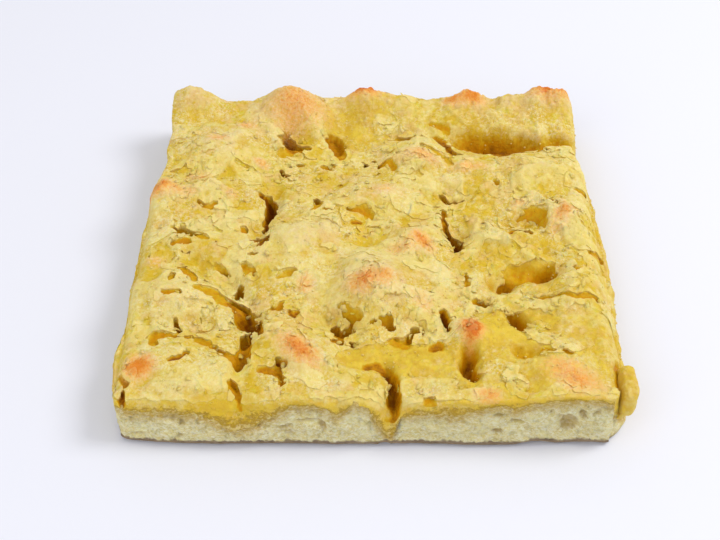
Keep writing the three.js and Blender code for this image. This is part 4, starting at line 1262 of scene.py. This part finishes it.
def crustColour(p, dry):  # yellow, moist crust that dries to cream, browns in the hollows and fades to crumb
    look, low = crustLook, p.attribute("low")
    wet = p.blend(p.fit(p.noise(4, 5), 0.38, 0.62), look["lemonGold"], look["gold"])
    base = p.blend(dry, wet, crispColour(p))
    base = p.blend(p.fit(p.noise(1.4, 5, 0.75), 0.54, 0.68, 0, 0.5), base, look["shade"])
    dusty = p.times(p.fit(p.attribute("rise"), 0.25, 0.85), p.fit(p.noise(3, 5), 0.38, 0.6))
    base = p.blend(p.times(dusty, p.fit(dry, 0, 0.7, 0, 0.75)), base, look["dusty"])
    # painted shade: steep slopes and sides turn gold, the warm colour shade takes on this crust
    base = p.blend(p.fit(p.attribute("steep"), 0.3, 0.95, 0, 0.3), base, look["gold"])
    uneven = p.times(p.fit(p.noise(1.9, 4, 0.65), 0.3, 0.7, -0.4, 0.4), p.fit(low, 0.8, 3, 1, 3))
    sunk = p.plus(low, uneven)
    # depth tints: partly browned butter in the hollows, partly painted shade in them and painted highlight on
    # the rises
    for key, *bounds in depthTints:
        base = p.blend(p.fit(sunk, *bounds), base, look[key])
    specks = p.times(p.fit(p.noise(0.8, 2, 0.5, 1.5), 0.68, 0.72), p.fit(p.noise(9, 2), 0.48, 0.6))
    base = toasted(p, p.blend(p.times(specks, 0.5), base, look["crack"]))
    share = p.attribute("crumby")
    atCut, grainy = p.fit(share, 0, 0.1), p.fit(p.noise(1.8, 5, 0.7, 0.5, 1.4), 0.3, 0.7, -0.4, 0.4)
    crumby = p.plus(share, grainy)
    base = p.blend(p.times(p.fit(crumby, 0.2, 0.7, 0, 0.9), atCut), base, look["olive"])
    inner = p.blend(0.45, crumbColour(p, 0.4), crumbLook["stain"])
    return p.blend(p.times(p.fit(crumby, 0.65, 1.15, 0, 0.9), atCut), base, inner)


def dryShare(p, dry):  # the dry share with an uneven outline
    spread = p.fit(p.noise(2.5, 5, 0.6), 0.3, 0.7, -0.3, 0.3)
    return p.fit(p.plus(dry, spread), 0.1, 0.9)


def toppingMaterial():
    p = Painter("butterTopping")
    dry = dryShare(p, p.attribute("dry"))
    grain = p.times(p.noise(1.1, 5, 0.65), p.fit(dry, 0, 1, 0.45, 1))
    return p.finish({
        "Base Color": crustColour(p, dry),
        "Roughness": p.plus(p.fit(dry, 0, 1, 0.26, 0.6), p.fit(p.noise(1.2, 4), 0.3, 0.7, 0, 0.18)),
        "Normal": p.bump(p.noise(0.45, 3), 0.18, 0.6, p.bump(grain, 0.7, 0.9)),
        "Specular IOR Level": crustLook["shine"], "Subsurface Radius": crustLook["scatter"],
        "Subsurface Weight": 0.45, "Subsurface Scale": 0.9 * mm,
    })


def filmMaterial():
    p = Painter("sugarFilm")
    base = crustColour(p, dryShare(p, p.math("MAXIMUM", p.attribute("dry"), 0.6)))
    base = p.blend(p.fit(p.attribute("tint"), 0.5, 1, 0, 0.35), base, crustLook["light"])
    return p.finish({
        "Base Color": p.blend(p.times(p.attribute("edge"), 0.3), base, crustLook["light"]),
        "Roughness": p.fit(p.noise(1.5, 4), 0.35, 0.65, 0.45, 0.75),
        "Normal": p.bump(p.noise(0.4, 3), 0.18, 0.6, p.bump(p.noise(1.4, 5, 0.68), 0.45, 1)),
        "Specular IOR Level": crustLook["shine"], "Subsurface Radius": crustLook["scatter"],
        "Subsurface Weight": 0.5, "Subsurface Scale": 0.5 * mm,
    })


def crumbMaterial():
    p, look = Painter("yeastCrumb"), crumbLook
    # painted shade: the deeper a pore is eaten in, the darker its colour
    base = p.blend(p.fit(p.attribute("pit"), 0.5, 1.8, 0, 0.55), crumbColour(p), look["pit"])
    soaked = p.times(p.attribute("stain"), p.fit(p.noise(1.4, 5, 0.7, 0.5, 1.6), 0.35, 0.6, 0.35, 0.95))
    base = p.blend(soaked, base, look["stain"])
    return p.finish({
        "Base Color": p.blend(p.attribute("crust"), base, look["crust"]),
        "Roughness": look["roughness"],
        "Normal": p.bump(p.noise(0.35, 3), 0.25, 0.8, p.bump(p.noise(1.1, 6, 0.75, 0.6, 2), 0.9, 1)),
        "Subsurface Radius": look["scatter"], "Subsurface Weight": 0.3, "Subsurface Scale": 1.0 * mm,
    })


toppingSkin, filmSkin, crumbSkin = toppingMaterial(), filmMaterial(), crumbMaterial()
for piece, skin in [(toppingPiece, toppingSkin), (tonguePiece, toppingSkin), (doughPiece, crumbSkin)]:
    piece.data.materials.append(skin)
for piece in filmPieces:
    piece.data.materials.append(filmSkin)
print("materials made")


# the chips and grains that geometry nodes scatter, in shares of a width of 1 mm
chip = dict(corners=9, reach=0.34, ragged=0.2, longer=0.5, bend=0.64, uneven=0.05, half=0.035, narrower=0.96,
            middle=(0.08, -0.02))
grain = dict(least=0.75, uneven=0.5, flat=(1, 0.85, 0.7))


def chipShape(name, kind):  # a small bent chip with a ragged outline
    n = chip["corners"]
    k = np.arange(n)
    angles = 2 * math.pi * (k + 0.5 * chance(k, kind, 501)) / n
    reach = chip["reach"] + chip["ragged"] * chance(k, kind, 503)
    long = 1 + chip["longer"] * float(chance(kind, 1, 505))
    x, y = reach * np.cos(angles) * long, reach * np.sin(angles) / long
    z = chip["bend"] * (x * x - y * y) + chip["uneven"] * (chance(k, kind, 507) - 0.5)
    less, half, (topMiddle, lowMiddle) = chip["narrower"], chip["half"], chip["middle"]
    top = np.concatenate([np.stack([x, y, z + half], 1), [[0, 0, topMiddle]]])
    low = np.concatenate([np.stack([x * less, y * less, z - half], 1), [[0, 0, lowMiddle]]])
    faces = [(i, (i + 1) % n, n) for i in range(n)]
    faces += [((i + 1) % n + n + 1, i + n + 1, 2 * n + 1) for i in range(n)]
    faces += [(i, i + n + 1, (i + 1) % n + n + 1, (i + 1) % n) for i in range(n)]
    return meshFrom(name, np.concatenate([top, low]), faces)


def grainShape(name, kind):  # a crumb with twenty faces
    t = (1 + math.sqrt(5)) / 2
    corners = np.array([(-1, t, 0), (1, t, 0), (-1, -t, 0), (1, -t, 0), (0, -1, t), (0, 1, t),
                        (0, -1, -t), (0, 1, -t), (t, 0, -1), (t, 0, 1), (-t, 0, -1), (-t, 0, 1)])
    corners = corners / math.hypot(1, t) / 2
    sizes = grain["least"] + grain["uneven"] * chance(np.arange(12), kind, 511)
    corners = corners * sizes[:, None] * np.array(grain["flat"])
    faces = [(0, 11, 5), (0, 5, 1), (0, 1, 7), (0, 7, 10), (0, 10, 11), (1, 5, 9), (5, 11, 4), (11, 10, 2),
             (10, 7, 6), (7, 1, 8), (3, 9, 4), (3, 4, 2), (3, 2, 6), (3, 6, 8), (3, 8, 9), (4, 9, 5),
             (2, 4, 11), (6, 2, 10), (8, 6, 7), (9, 8, 1)]
    return meshFrom(name, corners, faces)


def scatterTree(name, shapes, skin):
    tree = bpy.data.node_groups.new(name, "GeometryNodeTree")
    tree.interface.new_socket("Geometry", in_out="INPUT", socket_type="NodeSocketGeometry")
    for label in ("Per square metre", "Least size", "Most size", "Tip"):
        tree.interface.new_socket(label, in_out="INPUT", socket_type="NodeSocketFloat")
    tree.interface.new_socket("Seed", in_out="INPUT", socket_type="NodeSocketInt")
    tree.interface.new_socket("Geometry", in_out="OUTPUT", socket_type="NodeSocketGeometry")
    new, link = tree.nodes.new, tree.links.new
    given, out = new("NodeGroupInput"), new("NodeGroupOutput")

    def times(a, b):
        node = new("ShaderNodeMath")
        node.operation = "MULTIPLY"
        link(a, node.inputs[0])
        if isinstance(b, (int, float)):
            node.inputs[1].default_value = b
        else:
            link(b, node.inputs[1])
        return node.outputs[0]

    room = new("GeometryNodeInputNamedAttribute")
    room.data_type = "FLOAT"
    room.inputs["Name"].default_value = "room"
    spread = new("GeometryNodeDistributePointsOnFaces")
    link(given.outputs["Geometry"], spread.inputs["Mesh"])
    link(times(room.outputs["Attribute"], given.outputs["Per square metre"]), spread.inputs["Density"])
    link(given.outputs["Seed"], spread.inputs["Seed"])

    least, most = new("ShaderNodeCombineXYZ"), new("ShaderNodeCombineXYZ")
    for axisName in ("X", "Y"):
        link(given.outputs["Tip"], most.inputs[axisName])
        link(times(given.outputs["Tip"], -1), least.inputs[axisName])
    most.inputs["Z"].default_value = 2 * math.pi
    tips = new("FunctionNodeRandomValue")
    tips.data_type = "FLOAT_VECTOR"
    link(given.outputs["Seed"], tips.inputs["Seed"])
    link(least.outputs[0], tips.inputs[0])
    link(most.outputs[0], tips.inputs[1])
    turned = new("FunctionNodeRotateRotation")
    turned.rotation_space = "LOCAL"
    link(spread.outputs["Rotation"], turned.inputs[0])
    link(tips.outputs[0], turned.inputs[1])

    sizes = new("FunctionNodeRandomValue")
    link(given.outputs["Least size"], sizes.inputs[2])
    link(given.outputs["Most size"], sizes.inputs[3])
    kinds = new("GeometryNodeJoinGeometry")
    for shape in shapes:
        info = new("GeometryNodeObjectInfo")
        info.inputs["Object"].default_value = shape
        info.inputs["As Instance"].default_value = True
        link(info.outputs["Geometry"], kinds.inputs[0])
    place = new("GeometryNodeInstanceOnPoints")
    place.inputs["Pick Instance"].default_value = True
    for source, socket in ((spread.outputs["Points"], "Points"), (kinds.outputs[0], "Instance"),
                           (turned.outputs[0], "Rotation"), (sizes.outputs[1], "Scale")):
        link(source, place.inputs[socket])
    tint, shade = new("GeometryNodeStoreNamedAttribute"), new("FunctionNodeRandomValue")
    tint.data_type = "FLOAT"
    tint.domain = "INSTANCE"
    tint.inputs["Name"].default_value = "tint"
    link(place.outputs[0], tint.inputs["Geometry"])
    link(shade.outputs[1], tint.inputs["Value"])
    real, dress = new("GeometryNodeRealizeInstances"), new("GeometryNodeSetMaterial")
    dress.inputs["Material"].default_value = skin
    link(tint.outputs[0], real.inputs[0])
    link(real.outputs[0], dress.inputs["Geometry"])
    link(dress.outputs[0], out.inputs[0])
    return tree


def makeHost(step=3):  # a coarse copy of the outer surface, which the chips are scattered on
    part = (slice(None, None, step), slice(None, None, step))
    x, y, cover = mapX[part], mapY[part], coverMap[part]
    z = np.where(cover > -0.3, filmMap[part] + 0.2, detailedTop(x, y) + 0.1)
    inside = trueInside(x, y) > 2.5
    rows = np.full(x.shape, -1)
    rows[inside] = np.arange(inside.sum())
    quads = gridFaces(rows)
    points, faces = [np.stack([x[inside], y[inside], z[inside]], 1)], [quads[(quads >= 0).all(1)]]
    covers, count, upper = [cover[inside]], len(points[0]), None
    side = outlineOf(60)
    edgeTop = detailedTop(side["x"], side["y"])
    for share in (0, 0.3, 0.6, 0.9):
        height = mix(edgeTop, np.minimum(side["seam"], edgeTop - 0.4), share)
        points.append(ringAt(side, sideReach(side, height) * smooth(share, 0, 0.25) + 0.15, height))
        covers.append(mix(-9, -1.5, side["rim"]))
        lower = np.arange(len(height)) + count
        count += len(height)
        if upper is not None:
            faces.append(bandFaces(upper, lower))
        upper = lower
    points = np.concatenate(points)
    host = meshFrom("scatter_host", points, np.concatenate(faces))
    return host, points[:, 0], points[:, 1], np.concatenate(covers)


def scatter(name, host, room, shapes, skin, look):
    setFields(host.data, dict(room=room))  # how much of the full number may lie at each point
    tree = scatterTree(name, shapes, skin)
    modifier = host.modifiers.new("Scatter", "NODES")
    modifier.node_group = tree
    for item in tree.interface.items_tree:
        if item.in_out == "INPUT" and item.name in look:
            modifier[item.identifier] = look[item.name]
    bpy.context.view_layer.update()
    plain = bpy.data.meshes.new_from_object(host.evaluated_get(bpy.context.evaluated_depsgraph_get()))
    host.modifiers.remove(modifier)
    bpy.data.node_groups.remove(tree)
    plain.name = name
    points = np.zeros(len(plain.vertices) * 3, np.float32)
    plain.vertices.foreach_get("co", points)
    fields = fieldsAt(points.reshape(-1, 3).astype(float) / mm)
    fields.update(low=np.zeros(len(plain.vertices)), edge=np.zeros(len(plain.vertices)))
    setFields(plain, fields)
    piece = linked(name, plain)
    print(name, "made,", triangleCount(piece), "triangles")
    return piece


# sizes in mm, tips in radians
chipLook = {"Per square metre": 70000.0, "Least size": 1.1, "Most size": 3.0, "Tip": 0.45, "Seed": 3}
grainLook = {"Per square metre": 150000.0, "Least size": 0.45, "Most size": 1.0, "Tip": 0.6, "Seed": 5}

host, hostX, hostY, hostCover = makeHost()
chips = [chipShape("chip_%d" % k, k) for k in range(4)]
grains = [grainShape("grain_%d" % k, k) for k in range(3)]
nearEdges = np.exp(-np.abs(hostCover) / 2.2)
patchy = smooth(layered(hostX, hostY, 11, 521), -0.3, 0.5)
chipRoom = (0.12 + 0.88 * nearEdges) * (0.35 + 0.65 * patchy) * (hostCover > -0.4)
grainRoom = (0.3 + 0.7 * nearEdges) * (0.3 + 0.7 * patchy) * smooth(sample(tearAway, hostX, hostY), -0.2, 0.8)
scattered = [
    scatter("sugar_chips", host, chipRoom, chips, filmSkin, chipLook),
    scatter("sugar_grains", host, grainRoom, grains, filmSkin, grainLook),
]
for leftover in [host, *chips, *grains]:
    bpy.data.objects.remove(leftover, do_unlink=True)


# what each piece rides on and stands for
toppingPieces = [toppingPiece, tonguePiece, *filmPieces, *scattered]
for piece in [*toppingPieces, doughPiece]:
    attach(piece, "root")
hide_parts("butter_sugar_topping")
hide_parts("yeast_dough")


# table, light and camera
stage = dict(size=3.0, white=(0.8, 0.825, 0.94), roughness=0.7, sky=0.7, skyTint=(1, 0.975, 0.93))
lamps = [
    dict(name="key_light", place=(0.8, 0.12, 0.95), size=0.6, power=7.3, tint=(1, 0.985, 0.96)),
    dict(name="fill_light", place=(-0.6, -0.9, 0.8), size=1.2, power=4.0, tint=(0.98, 0.98, 1)),
]
view = dict(place=(-0.8, -297.5, 286.8), pitch=44.0, yaw=0.6, lens=60, sensor=36)


def makeTable():
    half = stage["size"] / 2
    mesh = bpy.data.meshes.new("table_top")
    corners = [(-half, -half, 0), (half, -half, 0), (half, half, 0), (-half, half, 0)]
    mesh.from_pydata(corners, [], [(0, 1, 2, 3)])
    table = linked("table_top", mesh)
    white = Painter("whiteTable").finish({"Base Color": stage["white"], "Roughness": stage["roughness"]})
    table.data.materials.append(white)


def makeLamp(look):
    data = bpy.data.lights.new(look["name"], "AREA")
    data.shape = "DISK"
    data.size = look["size"]
    data.energy = look["power"]
    data.color = look["tint"]
    lamp = linked(look["name"], data)
    lamp.location = look["place"]
    lamp.rotation_euler = (-Vector(look["place"])).to_track_quat("-Z", "Y").to_euler()


makeTable()
for look in lamps:
    makeLamp(look)
world = bpy.data.worlds.new("studio")
world.use_nodes = True
world.node_tree.nodes["Background"].inputs["Color"].default_value = (*stage["skyTint"], 1)
world.node_tree.nodes["Background"].inputs["Strength"].default_value = stage["sky"]
bpy.context.scene.world = world
bpy.context.scene.view_settings.view_transform = "Standard"

cameraData = bpy.data.cameras.new("camera")
cameraData.lens = view["lens"]
cameraData.sensor_width = view["sensor"]
camera = linked("camera", cameraData)
camera.location = [v * mm for v in view["place"]]
camera.rotation_euler = (math.radians(90 - view["pitch"]), 0, math.radians(view["yaw"]))
bpy.context.scene.camera = camera
print("table, light and camera set")
